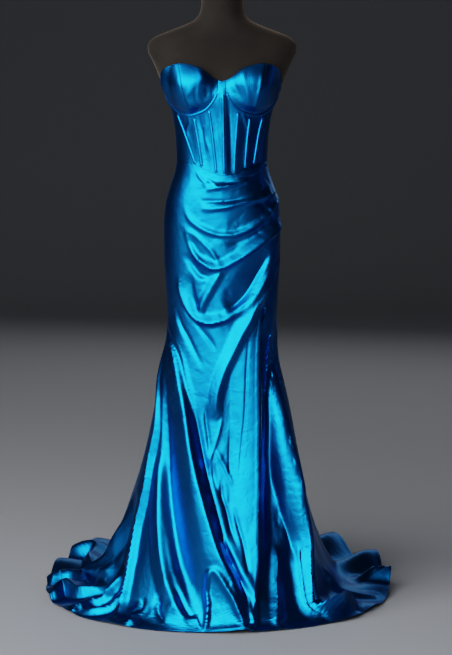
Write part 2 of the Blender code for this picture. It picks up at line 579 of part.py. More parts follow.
def make_strip(name, line_at, half_width, columns, rows, collection, lift=LAYER_GAP,
               thickness=TRIM_THICKNESS, settings=SATIN_TRIM):
    """A narrow strip laid on the gown along a line; line_at gives angle and level at 0 to 1."""
    def point_at(across, up):
        angle, level = line_at(up)
        ahead_angle, ahead_level = line_at(np.clip(up + 0.01, 0.0, 1.0))
        behind_angle, behind_level = line_at(np.clip(up - 0.01, 0.0, 1.0))
        east = (gown_point(angle + 0.2, level) - gown_point(angle - 0.2, level)) / 0.4
        north = (gown_point(angle, level + 0.001) - gown_point(angle, level - 0.001)) / 0.002
        east_size = np.linalg.norm(east, axis=-1)
        north_size = np.linalg.norm(north, axis=-1)
        run_east = (ahead_angle - behind_angle) * east_size
        run_north = (ahead_level - behind_level) * north_size
        length = np.hypot(run_east, run_north)
        offset = (across - 0.5) * 2.0 * half_width
        angle = angle + offset * run_north / length / east_size
        level = level - offset * run_east / length / north_size
        return cloth_wall(angle, level, lift + thickness, thickness)
    return make_wall(name, columns, rows, point_at, collection, settings)


def make_bodice(collection):
    right_side, left_side = (-SIDE_SEAM, -SIDE_SEAM), (SIDE_SEAM, SIDE_SEAM)
    bodice_panel("bodice_center_front", SEAM_CENTER_RIGHT, SEAM_CENTER_LEFT, 7, collection)
    bodice_panel("bodice_side_front_right", SEAM_SIDE_FRONT_RIGHT, SEAM_CENTER_RIGHT, 7, collection)
    bodice_panel("bodice_side_front_left", SEAM_CENTER_LEFT, SEAM_SIDE_FRONT_LEFT, 7, collection)
    bodice_panel("bodice_side_right", right_side, SEAM_SIDE_FRONT_RIGHT, 7, collection)
    bodice_panel("bodice_side_left", SEAM_SIDE_FRONT_LEFT, left_side, 7, collection)
    bodice_panel("bodice_back_right", (-180.0, -180.0), right_side, 7, collection)
    bodice_panel("bodice_back_left", left_side, (180.0, 180.0), 7, collection)
    cup_panel("cup_left_inner", CUP_INNER_END, CUP_SEAM_ANGLE, 7, collection)
    cup_panel("cup_left_outer", CUP_SEAM_ANGLE, CUP_OUTER_END, 7, collection)
    cup_panel("cup_right_inner", -CUP_SEAM_ANGLE, -CUP_INNER_END, 7, collection)
    cup_panel("cup_right_outer", -CUP_OUTER_END, -CUP_SEAM_ANGLE, 7, collection)


def make_trim(collection):
    for side, sign in (("right", -1.0), ("left", 1.0)):
        def casing_line(up, sign=sign):
            angle = smooth_curve(CASING_PLACES, up)[..., 0]
            return sign * angle, underwire(angle)
        make_strip("wire_casing_" + side, casing_line, 0.5 * WIRE_CASING_WIDTH, 1, 18, collection)
    for number, (waist_angle, top_angle, top_level) in enumerate(BONE_CHANNELS, start=1):
        def channel_line(up, ends=(waist_angle, top_angle, top_level)):
            angle = ends[0] + (ends[1] - ends[0]) * up
            bottom = waist_seam(angle) + 0.0035
            return angle, bottom + (ends[2] - 0.004 - bottom) * up
        make_strip("bone_channel_%d" % number, channel_line, 0.5 * BONE_CHANNEL_WIDTH, 1, 6, collection)
    for side, place in BACK_BONE_CHANNELS:
        def back_line(up, place=place):
            angle = np.full_like(up, place)
            bottom = waist_seam(angle) + 0.0035
            return angle, bottom + (neckline(angle) - 0.006 - bottom) * up
        make_strip("bone_channel_back_" + side, back_line, 0.5 * BONE_CHANNEL_WIDTH, 1, 6, collection)


# ------------------------------------------------------------------ skirt

SKIRT_ROWS = [  # place up the piece, level
    (0.00, HEM_LEVEL), (0.04, -0.110), (0.08, -0.050), (0.12, 0.005), (0.17, 0.070), (0.26, 0.210),
    (0.36, 0.390), (0.46, 0.560), (0.55, 0.700), (0.76, 0.930), (1.00, 1.120),
]


def skirt_level(angle, up):
    """Levels from the hem to the waist seam; the rows lie closer over the folds and the hem."""
    level = smooth_curve(SKIRT_ROWS, up)[..., 0]
    top = waist_seam(angle) - 0.5 * WAIST_GAP
    return level + (top - SKIRT_ROWS[-1][1]) * smooth_step(up, 0.70, 1.0)


def skirt_drape(collection):
    def point_at(across, up):
        level = skirt_level(np.zeros_like(up), up)
        for _ in range(3):
            start = -SIDE_SEAM + degrees_for(0.5 * SIDE_GAP, np.full_like(level, -SIDE_SEAM), level)
            end = slit_edge(level)
            end = end - degrees_for(0.5 * HIP_SEAM_GAP, end, level)
            angle = start + (end - start) * across
            level = skirt_level(angle, up)
        return cloth_wall(angle, level)
    return make_wall("skirt_drape", 30, 44, point_at, collection, SATIN)


def skirt_front_left(collection):
    """The panel beyond the slit. Its front edge runs under the drape, a little closer in."""
    def point_at(across, up):
        level = skirt_level(np.full_like(up, 80.0), up)
        for _ in range(3):
            edge = slit_edge(level)
            under = UNDERLAP - UNDERLAP_TAPER * smooth_step(-level, -0.140, -0.020)
            under = under * smooth_step(UNDERLAP_END - level, 0.0, 0.040) - 0.5 * HIP_SEAM_GAP
            start = edge - degrees_for(under, edge, level)
            end = SIDE_SEAM - degrees_for(0.5 * SIDE_GAP, np.full_like(level, SIDE_SEAM), level)
            angle = start + (end - start) * across ** CROWDING
            level = skirt_level(angle, up)
        past_edge = (angle - slit_edge(level)) / degrees_for(1.0, angle, level)
        drop = UNDERLAP_DROP * (1.0 - smooth_step(past_edge, 0.004, UNDERLAP_RISE))
        hollow = SLIT_HOLLOW * np.sin(np.pi * np.clip(past_edge / SLIT_HOLLOW_WIDTH, 0.0, 1.0)) ** 2
        hollow = hollow * smooth_step(SLIT_TOP_LEVEL - level, 0.050, 0.180) * smooth_step(level, 0.0, 0.120)
        lift = -(drop + hollow) * smooth_step(UNDERLAP_END - level, -0.050, -0.005)
        return cloth_wall(angle, level, lift)
    return make_wall("skirt_front_left", 9, 44, point_at, collection, SATIN)


def skirt_back(name, start, end, collection):
    def point_at(across, up):
        first = start + degrees_for(0.5 * SIDE_GAP, np.full_like(up, start), skirt_level(up * 0, up))
        last = end - degrees_for(0.5 * SIDE_GAP, np.full_like(up, end), skirt_level(up * 0, up))
        angle = first + (last - first) * across
        return cloth_wall(angle, skirt_level(angle, up))
    return make_wall(name, 13, 28, point_at, collection, SATIN)


def waist_flap(collection):
    """The folded pleat along the waist seam, pointed at both ends."""
    def point_at(across, up):
        angle = FLAP_START + (FLAP_END - FLAP_START) * across
        top = waist_seam(angle) - FLAP_BELOW_SEAM
        bottom = smooth_curve(FLAP_LOWER_EDGE, angle)[..., 0]
        level = bottom + (top - bottom) * up
        return cloth_wall(angle, level, FLAP_RISE)
    return make_wall("waist_flap", 12, 3, point_at, collection, SATIN)


def make_skirt(collection):
    skirt_drape(collection)
    skirt_front_left(collection)
    skirt_back("skirt_back_right", -180.0, -SIDE_SEAM, collection)
    skirt_back("skirt_back_left", SIDE_SEAM, 180.0, collection)
    waist_flap(collection)


# ------------------------------------------------------------------ form and stand

def form_inset(level):
    """How far the form's cover lies inside the gown's outer face."""
    under_bodice = CLOTH_THICKNESS + FORM_CLEARANCE
    under_slit = under_bodice + UNDERLAP_DROP
    under_skirt = under_bodice + HIP_CLEARANCE
    inset = under_slit + (under_skirt - under_slit) * smooth_step(level, 0.930, 0.990)
    inset = inset + (under_bodice - under_skirt) * smooth_step(level, 1.096, 1.130)
    return inset * (1.0 - smooth_step(level, 1.425, 1.455))


def dress_form(collection):
    """The torso: a ball whose rings are laid on the body's sections, flat at its foot and neck."""
    segments, rings = 30, len(FORM_RINGS) + 1
    bm = bmesh.new()
    bmesh.ops.create_uvsphere(bm, u_segments=segments, v_segments=rings, radius=1.0)
    ball = np.array([vert.co[:] for vert in bm.verts])
    ring = np.arccos(np.clip(-ball[:, 2], -1.0, 1.0)) / math.pi * rings
    angle = np.degrees(np.arctan2(ball[:, 0], -ball[:, 1]))
    level = np.array(FORM_RINGS)[np.clip(np.rint(ring).astype(int) - 1, 0, rings - 2)]
    shoulder = smooth_curve(SHOULDER_SECTIONS, np.maximum(level, 1.440))
    half_width, front, widest, back = np.moveaxis(shoulder, -1, 0)
    turn = np.radians(angle)
    depth = np.where(np.cos(turn) > 0.0, widest - front, back - widest)
    top = np.stack([half_width * np.sin(turn), widest - depth * np.cos(turn), level], axis=-1)
    torso = body_point(angle, np.minimum(level, 1.440), FORM_FULLNESS)
    normal = surface_normal(body_point, angle, np.minimum(level, 1.430))
    normal[level <= FORM_BOTTOM, 2] = 0.0
    place = np.where((level < 1.440)[:, None], torso, top) - normal * form_inset(level)[:, None]
    pole = (ring < 0.5) | (ring > rings - 0.5)
    center = np.stack([np.zeros_like(level), 0.006 + 0 * level, level], axis=-1)
    place = np.where(pole[:, None], center, place)
    for vert, spot in zip(bm.verts, place):
        vert.co = spot
    bmesh.ops.recalc_face_normals(bm, faces=bm.faces[:])
    mesh = bpy.data.meshes.new("dress_form")
    bm.to_mesh(mesh)
    bm.free()
    return add_object("dress_form", mesh, collection, FORM_COVER)


def round_bar(name, radius, bottom, top, sides, collection, settings):
    bm = bmesh.new()
    bmesh.ops.create_cone(bm, cap_ends=True, segments=sides, radius1=radius, radius2=radius,
                          depth=top - bottom)
    mesh = bpy.data.meshes.new(name)
    bm.to_mesh(mesh)
    bm.free()
    part = add_object(name, mesh, collection, settings)
    part.location.z = 0.5 * (top + bottom)
    return part


def make_stand(collection):
    dress_form(collection)
    base = round_bar("stand_base", BASE_RADIUS, 0.0, BASE_THICKNESS, 40, collection, BLACK_METAL)
    rounding = base.modifiers.new("rounded edge", "BEVEL")
    rounding.width = BASE_BEVEL
    rounding.segments = 1
    round_bar("stand_pole", POLE_RADIUS, BASE_THICKNESS + FACE_GAP, FORM_BOTTOM - FACE_GAP, 20,
              collection, BLACK_METAL)


# ------------------------------------------------------------------ zip

def box(name, size, middle):
    bpy.ops.mesh.primitive_cube_add(size=1.0, location=middle)
    block = bpy.context.object
    block.name = name
    block.scale = size
    bpy.ops.object.transform_apply(location=False, rotation=False, scale=True)
    return block


def bar_along_x(name, radius, length, middle, sides=16):
    bpy.ops.mesh.primitive_cylinder_add(radius=radius, depth=length, vertices=sides, location=middle,
                                        rotation=(0.0, math.radians(90.0), 0.0))
    bar = bpy.context.object
    bar.name = name
    return bar


def combine(target, tool, operation):
    """Join a piece to the target, or cut it out, and remove the piece."""
    step = target.modifiers.new(operation, "BOOLEAN")
    step.operation = operation
    step.object = tool
    step.solver = "EXACT"
    bpy.context.view_layer.objects.active = target
    bpy.ops.object.modifier_apply(modifier=step.name)
    bpy.data.objects.remove(tool, do_unlink=True)


def settle_in(part, collection, settings):
    for owner in list(part.users_collection):
        owner.objects.unlink(part)
    collection.objects.link(part)
    part.data.materials.clear()
    part.data.materials.append(make_material(part.name + "_material", *settings))


def make_zip(collection):
    def coil_line(up):
        return np.full_like(up, 180.0), ZIP_BOTTOM + (ZIP_TOP - ZIP_BOTTOM) * up
    make_strip("zip_coil", coil_line, 0.5 * ZIP_WIDTH, 1, 24, collection, lift=ZIP_LIFT,
               settings=ZIP_METAL)

    levels = SLIDER_MIDDLE + np.array([-0.5, 0.0, 0.5]) * SLIDER_SIZE[2]
    back = gown_point(np.full(3, 180.0), levels)[:, 1].max()
    slider_inner = back + ZIP_LIFT + TRIM_THICKNESS + FACE_GAP
    slider_outer = slider_inner + SLIDER_SIZE[1]
    pin_y = slider_outer + HINGE_RISE
    slider = box("zip_slider", SLIDER_SIZE, (0.0, 0.5 * (slider_inner + slider_outer), SLIDER_MIDDLE))
    post_x = 0.5 * KNUCKLE_WIDTH + FACE_GAP + 0.5 * POST_WIDTH
    post_top = pin_y + 1.6 * HINGE_PIN_RADIUS
    for sign in (-1.0, 1.0):
        post_start = slider_outer - 0.5 * SLIDER_SIZE[1]
        post = box("post", (POST_WIDTH, post_top - post_start, 3.2 * HINGE_PIN_RADIUS),
                   (sign * post_x, 0.5 * (post_start + post_top), SLIDER_MIDDLE))
        combine(slider, post, "UNION")
    pin = bar_along_x("pin", HINGE_PIN_RADIUS, 2.0 * post_x, (0.0, pin_y, SLIDER_MIDDLE))
    combine(slider, pin, "UNION")
    settle_in(slider, collection, ZIP_METAL)

    tab_top = SLIDER_MIDDLE - 0.6 * KNUCKLE_RADIUS
    neck_end = SLIDER_MIDDLE - 1.9 * KNUCKLE_RADIUS
    tab = box("zip_pull_tab", (TAB_WIDTH, TAB_THICKNESS, TAB_LENGTH),
              (0.0, pin_y, neck_end - 0.5 * TAB_LENGTH))
    neck = box("neck", (KNUCKLE_WIDTH, TAB_THICKNESS, tab_top - neck_end + 0.001),
               (0.0, pin_y, 0.5 * (tab_top + neck_end - 0.001)))
    combine(tab, neck, "UNION")
    knuckle = bar_along_x("knuckle", KNUCKLE_RADIUS, KNUCKLE_WIDTH, (0.0, pin_y, SLIDER_MIDDLE))
    combine(tab, knuckle, "UNION")
    bore = bar_along_x("bore", KNUCKLE_BORE, 2.0 * KNUCKLE_WIDTH, (0.0, pin_y, SLIDER_MIDDLE))
    combine(tab, bore, "DIFFERENCE")
    settle_in(tab, collection, ZIP_METAL)


def main():
    clear_scene()
    collection = bpy.data.collections.new(COLLECTION)
    bpy.context.scene.collection.children.link(collection)
    make_bodice(collection)
    make_trim(collection)
    make_skirt(collection)
    make_stand(collection)
    make_zip(collection)


main()
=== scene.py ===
"""Looks of the evening gown on its dress form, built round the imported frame.

Metres, +Z up, the front faces -Y and +X is the wearer's left. Every piece of cloth is cut
from one surface. A point of it has an angle round the body (degrees, 0 at the front centre)
and a level, which is its height down to the floor and below zero runs out along the train.
"""
import math
from functools import partial

import bpy
import numpy as np
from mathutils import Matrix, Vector


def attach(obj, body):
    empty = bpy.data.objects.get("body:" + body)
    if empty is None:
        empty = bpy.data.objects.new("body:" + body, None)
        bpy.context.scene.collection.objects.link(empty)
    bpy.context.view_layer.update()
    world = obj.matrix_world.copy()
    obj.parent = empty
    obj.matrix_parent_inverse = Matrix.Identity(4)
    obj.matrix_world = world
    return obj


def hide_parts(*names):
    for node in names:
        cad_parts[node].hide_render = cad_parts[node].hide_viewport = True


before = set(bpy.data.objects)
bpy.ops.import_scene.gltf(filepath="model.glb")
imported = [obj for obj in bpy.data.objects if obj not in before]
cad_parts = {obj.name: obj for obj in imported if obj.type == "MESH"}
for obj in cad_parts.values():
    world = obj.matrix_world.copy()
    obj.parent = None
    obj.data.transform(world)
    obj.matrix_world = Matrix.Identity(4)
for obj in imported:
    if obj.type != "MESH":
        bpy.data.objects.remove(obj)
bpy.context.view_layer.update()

BODY = "gown_and_form"
PULL_BODY = "zip_pull"
BODY_MIDDLE = (0.0, 0.04, 0.0)  # inside the gown, so its outer face looks away from here
MM = 0.001

# ---- cloth and seams
CLOTH_THICKNESS = 0.0013
CLOTH_INSET = 0.0020
CLOTH_SMOOTH = 50.0  # degrees between faces that still look smooth
SEAM_GAP = 0.0005
SEAM_EDGE = 1e-4  # share of a panel's width that counts as its very edge
WAIST_GAP = 0.0010
SIDE_GAP = 0.0009
HIP_SEAM_GAP = 0.0013
EDGE_ROLL = 0.0007
EDGE_ROLL_WIDTH = 0.0018
WAIST_FADE = (0.002, 0.022)  # how far under the waist seam the skirt's folds come up
HEM_WIDTH = 0.010
HEM_RAISE = 0.0006
HEM_EDGE = 0.002
HEM_DENT = 0.0004
HEM_DENT_WIDTH = 0.0012
HEM_DENT_INSET = 0.002

# ---- folds
FOLD_TOE = 0.003
FOLD_REACH = 1.7
FOLD_STEPS = 80
CREASE_STEPS = 20
CREASE_CREST = 2.0
TRAIN_WAVES_LEVELS = (0.040, -0.150)  # where the waves start and where they are full
BACK_FLUTES_LEVELS = (0.700, -0.050)

# ---- bodice
BUST_ANGLE = 38.0
BUST_LEVEL = 1.342
BUST_FULLNESS = 0.027
BUST_SIDE_SHARE = 0.35
BUST_SPREAD_ANGLE = 25.0
BUST_SPREAD_LEVEL = 0.043
CUP_SEAM_ANGLE = 36.0
CUP_INNER_END = 3.6
CUP_OUTER_END = 86.0
CUP_INNER_FULL = 20.0  # the angle by which a cup has come up from the centre front
CUP_OUTER_FADE = 22.0  # degrees over which it goes down at the side
CUP_PUFF = 0.0025
CUP_RIDGE = 0.0095
CUP_RIDGE_SPREAD = 26.0
CUP_RIDGE_ROUND = 2.0
CUP_FOOT_SHARE = 0.25  # share of its height over which a cup rises off the underwire
CUP_TOP_LIFT = 0.0180
CUP_TOP_START = 0.35
CUP_TOP_FADE = (20.0, 52.0)  # degrees from a cup's outer end
CUP_TOP_MARGIN = 0.002
CUP_PANEL_WIDTH = 0.090
BELOW_CUP = (3.5, 86.3)  # angles between which a panel ends at the underwire
BODICE_RADIUS = 0.11
WAIST_HEIGHT = 1.170
SIDE_SEAM = 90.0

# ---- trim and stitches
BONE_CHANNEL_WIDTH = 0.0082
BONE_CHANNEL_CROWN = 0.0026
BONE_CHANNEL_ROWS = 50
BONE_CHANNEL_FOOT = 0.0035  # above the waist seam
BONE_CHANNEL_HEAD = 0.004  # under the level that its table gives
BACK_CHANNEL_HEAD = 0.006
WIRE_CASING_WIDTH = 0.0066
WIRE_CASING_CROWN = 0.0024
WIRE_CASING_ROWS = 90
TRIM_FLANGE = 0.0008
TRIM_CLOTH = 0.0008
TRIM_LIFT = 0.0005
TRIM_COLUMNS = 10
TRIM_CROWD = 0.35
TRIM_STEP = 0.01  # share of its length over which a strip takes its direction
TRIM_TAPER = (-0.4, 1.5)  # rows from its end over which the crown comes up
CHANNEL_ALLOWANCE = 0.015
CHANNEL_CUT_WIDTH = 0.0095
BACK_CHANNEL_LENGTH = 0.18
BACK_CHANNEL_AREA = 0.0016
STITCH_SPACING = 0.0034
STITCH_SIZE = (0.0024, 0.00055, 0.0004)
STITCH_STEPS = 400
STITCH_LIFT = 0.0003
HEM_STITCH_LIFT = 0.0006
HEM_STITCH_INSET = 0.001
CASING_STITCH_DROP = 0.0046
CHANNEL_STITCH_TURN = 2.7
NECK_STITCH_DROP = 0.0045
NECK_STITCH_ANGLE = 179.0
SLIT_STITCH_FOOT = -0.165
SLIT_STITCH_HEAD = 0.010

# ---- skirt
HEM_LEVEL = -0.180
FLOOR_CLEARANCE = 0.0005
FLOOR_SLANT = 0.7  # distance along the cloth for a step of level beside the hem
TOP_ROWS = (0.70, 1.0)  # share up a piece over which its rows come to follow the waist seam
DRAPE_CROWD = 0.25
FRONT_LEFT_ANGLE = 80.0  # where the levels of the panel beyond the slit are first taken
EDGE_PASSES = 3  # an edge's angle hangs on its level and the level on its angle
SLIT_TOP_LEVEL = 0.806
SLIT_EDGE_EASE = 0.004
UNDERLAP = 0.028
UNDERLAP_TAPER = 0.014
UNDERLAP_TAPER_LEVELS = (0.140, 0.020)
UNDERLAP_DROP = 0.0065
UNDERLAP_DROP_START = (-0.050, -0.005)  # under the end of the underlap
UNDERLAP_RISE = 0.050
UNDERLAP_END = SLIT_TOP_LEVEL + 0.050
UNDERLAP_END_FADE = 0.040
SLIT_HOLLOW = 0.008
SLIT_HOLLOW_START = 0.012  # past the drape's edge, as the next one is
SLIT_HOLLOW_END = (0.052, 0.110)
SLIT_HOLLOW_TOP = (0.020, 0.120)  # under the top of the slit
SLIT_HOLLOW_FOOT = 0.120
FLAP_RISE = 0.0040
FLAP_ROLL = 0.0016
FLAP_START = 15.5
FLAP_END = 71.0
FLAP_BELOW_SEAM = 0.002

# ---- form and stand
FORM_CLEARANCE = 0.0006
HIDDEN_CLEARANCE = 0.0100
HIDDEN_LEVELS = (1.080, 1.135)  # the form's cover comes up to the bodice between these
BARE_LEVELS = (1.425, 1.455)  # and out of it between these
FORM_FULLNESS = 0.60 * BUST_FULLNESS
FORM_BOTTOM = 0.860
FORM_SEGMENTS = 120
FORM_RINGS = 170
FORM_MIDDLE_Y = 0.006
SHOULDER_START = 1.440
SHOULDER_EASE = 0.010
NECK_TOP = 1.600
POLE_RADIUS = 0.016
POLE_BEVEL = 0.0008
BASE_RADIUS = 0.145
BASE_THICKNESS = 0.008
BASE_BEVEL = 0.0015
METAL_SMOOTH = 35.0

# ---- zip
ZIP_WIDTH = 0.0060
ZIP_LIFT = 0.0009
ZIP_TOP = 1.3330
ZIP_BOTTOM = 1.0000
COIL_THICKNESS = 0.0013
SLIDER_SIZE = (0.0080, 0.0022, 0.0100)
SLIDER_MIDDLE = 1.3240
HINGE_RISE = 0.0024
HINGE_PIN_RADIUS = 0.0006
KNUCKLE_BORE = 0.0010
KNUCKLE_RADIUS = 0.0018
KNUCKLE_WIDTH = 0.0022
POST_WIDTH = 0.0010
POST_HEIGHT = 3.2 * HINGE_PIN_RADIUS
POST_PAST_PIN = 1.6 * HINGE_PIN_RADIUS
FACE_GAP = 0.0003
TAB_WIDTH = 0.0050
TAB_LENGTH = 0.0220
TAB_THICKNESS = 0.0012
TAB_NECK_START = 0.6 * KNUCKLE_RADIUS
TAB_NECK_END = 1.9 * KNUCKLE_RADIUS
TAB_NECK_OVERLAP = 0.001
TOOTH_PITCH = 0.0015
TOOTH_HEIGHT = 0.48 * TOOTH_PITCH
TOOTH_OVERLAP = 0.0006
SMALL_BEVEL = 0.00025

# ---- studio: the camera, the lights and a floor cloth that sweeps up behind the gown
CAMERA_PLACE = (0.010, -4.6, 1.25)
CAMERA_DIP = 6.39  # degrees
CAMERA_SENSOR = 36.0
CAMERA_LENS = 97.83
ROOM_COLOR = "#a8aebc"
ROOM_STRENGTH = 0.03
LIGHTS = [  # name, place, what it points at, width and height, watts, colour
    ("key", (-2.5, -3.86, 2.75), (0.0, 0.0, 0.80), (6.8, 3.2), 385.0, "#ffffff"),
    ("back", (1.4, 5.0, 3.0), (0.0, 0.2, 0.70), (7.0, 3.0), 32.0, "#ffffff"),
    ("blue fill", (3.4, -1.6, 1.2), (0.0, 0.0, 0.80), (2.4, 2.0), 0.8, "#5f86ff"),
    ("right edge", (2.8, 0.6, 1.6), (0.0, 0.0, 0.80), (0.4, 1.8), 1.0, "#b8d0ff"),
    ("low front", (-0.5, -4.0, 0.5), (0.0, 0.0, 0.35), (0.8, 0.6), 10.0, "#f6fffa"),
]
SWEEP_WIDTH = 70.0
SWEEP_START = -35.0
SWEEP_BEND = 7.5
SWEEP_RADIUS = 9.0
SWEEP_END = 27.0
SWEEP_ROWS = 160

# Sections of the body and skirt, top to hem: level, height, middle along X, half width, then
# the places along Y of the front, the widest line and the back.

SECTIONS = [
    (1.440, 1.440, 0.000, 0.1900, -0.062, 0.010, 0.0850),
    (1.400, 1.400, 0.000, 0.1720, -0.085, 0.008, 0.0980),
    (1.355, 1.355, 0.000, 0.1530, -0.100, 0.006, 0.1040),
    (1.320, 1.320, 0.000, 0.1390, -0.101, 0.004, 0.1030),
    (1.284, 1.284, 0.000, 0.1265, -0.0985, 0.003, 0.1000),
    (1.220, 1.220, 0.000, 0.1185, -0.0965, 0.001, 0.0930),
    (1.169, 1.169, 0.000, 0.1165, -0.0955, 0.000, 0.0905),
    (1.140, 1.140, 0.000, 0.1210, -0.0970, 0.001, 0.0945),
    (1.100, 1.100, 0.000, 0.1340, -0.1005, 0.002, 0.1080),
    (1.054, 1.054, 0.000, 0.1460, -0.1030, 0.005, 0.1240),
    (1.000, 1.000, 0.000, 0.1505, -0.1045, 0.008, 0.1340),
    (0.920, 0.920, 0.000, 0.1500, -0.1040, 0.008, 0.1360),
    (0.840, 0.840, 0.000, 0.1455, -0.1030, 0.006, 0.1280),
    (0.755, 0.755, 0.000, 0.1420, -0.1025, 0.006, 0.1220),
    (0.680, 0.680, 0.000, 0.1500, -0.1060, 0.008, 0.1360),
    (0.597, 0.597, 0.000, 0.1640, -0.1130, 0.013, 0.1650),
    (0.512, 0.512, 0.000, 0.1800, -0.1220, 0.020, 0.2000),
    (0.428, 0.428, -0.002, 0.1960, -0.1350, 0.028, 0.2400),
    (0.343, 0.343, -0.004, 0.2160, -0.1540, 0.038, 0.2850),
    (0.257, 0.257, -0.009, 0.2360, -0.1780, 0.050, 0.3350),
    (0.170, 0.170, -0.012, 0.2620, -0.2080, 0.066, 0.3880),
    (0.085, 0.085, -0.013, 0.2980, -0.2440, 0.084, 0.4450),
    (0.010, 0.034, -0.014, 0.3360, -0.2680, 0.100, 0.5000),
    (-0.060, 0.0150, -0.014, 0.3830, -0.2775, 0.112, 0.5600),
    (-0.180, 0.0035, -0.013, 0.4620, -0.2860, 0.130, 0.6600),
    (-0.200, 0.0016, -0.013, 0.4750, -0.2874, 0.133, 0.6760),
]

# Sections of the form above the gown, bottom to top: level, half width and the same three
# places along Y.
SHOULDER_SECTIONS = [
    (SHOULDER_START, 0.1900, -0.062, 0.010, 0.0850),
    (1.462, 0.1905, -0.052, 0.012, 0.0810),
    (1.480, 0.1760, -0.046, 0.014, 0.0760),
    (1.497, 0.1370, -0.042, 0.016, 0.0720),
    (1.512, 0.0980, -0.040, 0.017, 0.0680),
    (1.525, 0.0720, -0.040, 0.017, 0.0660),
    (1.542, 0.0580, -0.040, 0.015, 0.0620),
    (1.565, 0.0530, -0.041, 0.012, 0.0590),
    (NECK_TOP, 0.0520, -0.042, 0.010, 0.0570),
]

# Edges of the bodice at angles from the front centre, the same on both sides.
NECKLINE = [  # angle, level
    (0, 1.366), (7, 1.373), (15, 1.384), (23, 1.392), (32, 1.398), (41, 1.399),
    (49, 1.397), (57, 1.389), (65, 1.373), (78, 1.356), (90, 1.351), (135, 1.345), (180, 1.340),
]
UNDERWIRE = [  # angle, level
    (2.8, 1.358), (4, 1.345), (6, 1.331), (9.5, 1.316), (13, 1.306), (19, 1.295), (26, 1.288),
    (33, 1.284), (40, 1.282), (49, 1.284), (57, 1.288), (66, 1.297), (73, 1.307), (80, 1.321),
    (85, 1.335), (88, 1.346),
]

# Edges of the skirt.
WAIST_SEAM = [  # angle, level
    (-180, 1.172), (-90, 1.170), (-60, 1.166), (-44, 1.162), (-28, 1.152), (-14, 1.140),
    (0, 1.131), (13, 1.134), (29, 1.147), (47, 1.157), (75, 1.167), (90, 1.169), (180, 1.172),
]
SLIT_EDGE = [  # level, angle of the drape's free edge
    (HEM_LEVEL, 10.0), (-0.099, 12.5), (0.060, 17.8), (0.161, 21.2), (0.308, 24.2),
    (0.509, 28.8), (0.699, 36.0), (0.737, 39.5), (0.806, 46.0), (0.880, 56.0), (0.953, 62.0),
    (1.030, 65.5), (1.100, 70.0), (1.172, 78.0),
]
FLAP_LOWER_EDGE = [  # angle, level
    (14.0, 1.1315), (25.0, 1.127), (38.0, 1.130), (55.0, 1.143), (72.0, 1.157),
]

# Middle of an underwire's casing: share of its length, angle.
CASING_PLACES = [(0.0, 5.2), (0.18, 10.0), (0.5, 38.0), (0.85, 73.0), (1.0, 84.0)]

# Seams of the bodice: angle at the waist, angle at the top.
SEAM_BACK_RIGHT = (-180.0, -180.0)
SEAM_SIDE_RIGHT = (-SIDE_SEAM, -SIDE_SEAM)
SEAM_SIDE_FRONT_RIGHT = (-36.0, -63.0)
SEAM_CENTER_RIGHT = (-26.0, -34.0)
SEAM_CENTER_LEFT = (30.0, 34.0)
SEAM_SIDE_FRONT_LEFT = (44.0, 54.0)
SEAM_SIDE_LEFT = (SIDE_SEAM, SIDE_SEAM)
SEAM_BACK_LEFT = (180.0, 180.0)

# Panels under the cups and round the back: name, first seam, last seam, columns and rows, flat
# size, area of the cut cloth.
BODICE_PANELS = [
    ("bodice_center_front", SEAM_CENTER_RIGHT, SEAM_CENTER_LEFT, (64, 90), (0.16, 0.24), 0.020),
    ("bodice_side_front_right", SEAM_SIDE_FRONT_RIGHT, SEAM_CENTER_RIGHT, (26, 60),
     (0.07, 0.15), 0.0060),
    ("bodice_side_front_left", SEAM_CENTER_LEFT, SEAM_SIDE_FRONT_LEFT, (22, 60),
     (0.06, 0.15), 0.0050),
    ("bodice_side_right", SEAM_SIDE_RIGHT, SEAM_SIDE_FRONT_RIGHT, (40, 60), (0.14, 0.19), 0.0120),
    ("bodice_side_left", SEAM_SIDE_FRONT_LEFT, SEAM_SIDE_LEFT, (40, 60), (0.13, 0.19), 0.0110),
    ("bodice_back_right", SEAM_BACK_RIGHT, SEAM_SIDE_RIGHT, (60, 60), (0.22, 0.19), 0.0340),
    ("bodice_back_left", SEAM_SIDE_LEFT, SEAM_BACK_LEFT, (60, 60), (0.22, 0.19), 0.0340),
]
# Panels of the cups: name, first and last angle, then the same columns.
CUP_PANELS = [
    ("cup_left_inner", CUP_INNER_END, CUP_SEAM_ANGLE, (40, 60), (0.10, 0.14), 0.0080),
    ("cup_left_outer", CUP_SEAM_ANGLE, CUP_OUTER_END, (48, 60), (0.14, 0.14), 0.0120),
    ("cup_right_inner", -CUP_SEAM_ANGLE, -CUP_INNER_END, (40, 60), (0.10, 0.14), 0.0080),
    ("cup_right_outer", -CUP_OUTER_END, -CUP_SEAM_ANGLE, (48, 60), (0.14, 0.14), 0.0120),
]

# Bone channels from the right side of the wearer to the left: angle at the waist, angle at
# the top, level at the top.
BONE_CHANNELS = [
    (-36.0, -63.0, 1.287),
    (-26.0, -34.0, 1.277),
    (-7.0, -14.5, 1.297),
    (2.5, 0.8, 1.336),
    (15.0, 18.5, 1.291),
    (30.0, 34.0, 1.277),
    (44.0, 54.0, 1.281),
]
BACK_BONE_CHANNELS = [("right", -135.0), ("left", 135.0)]

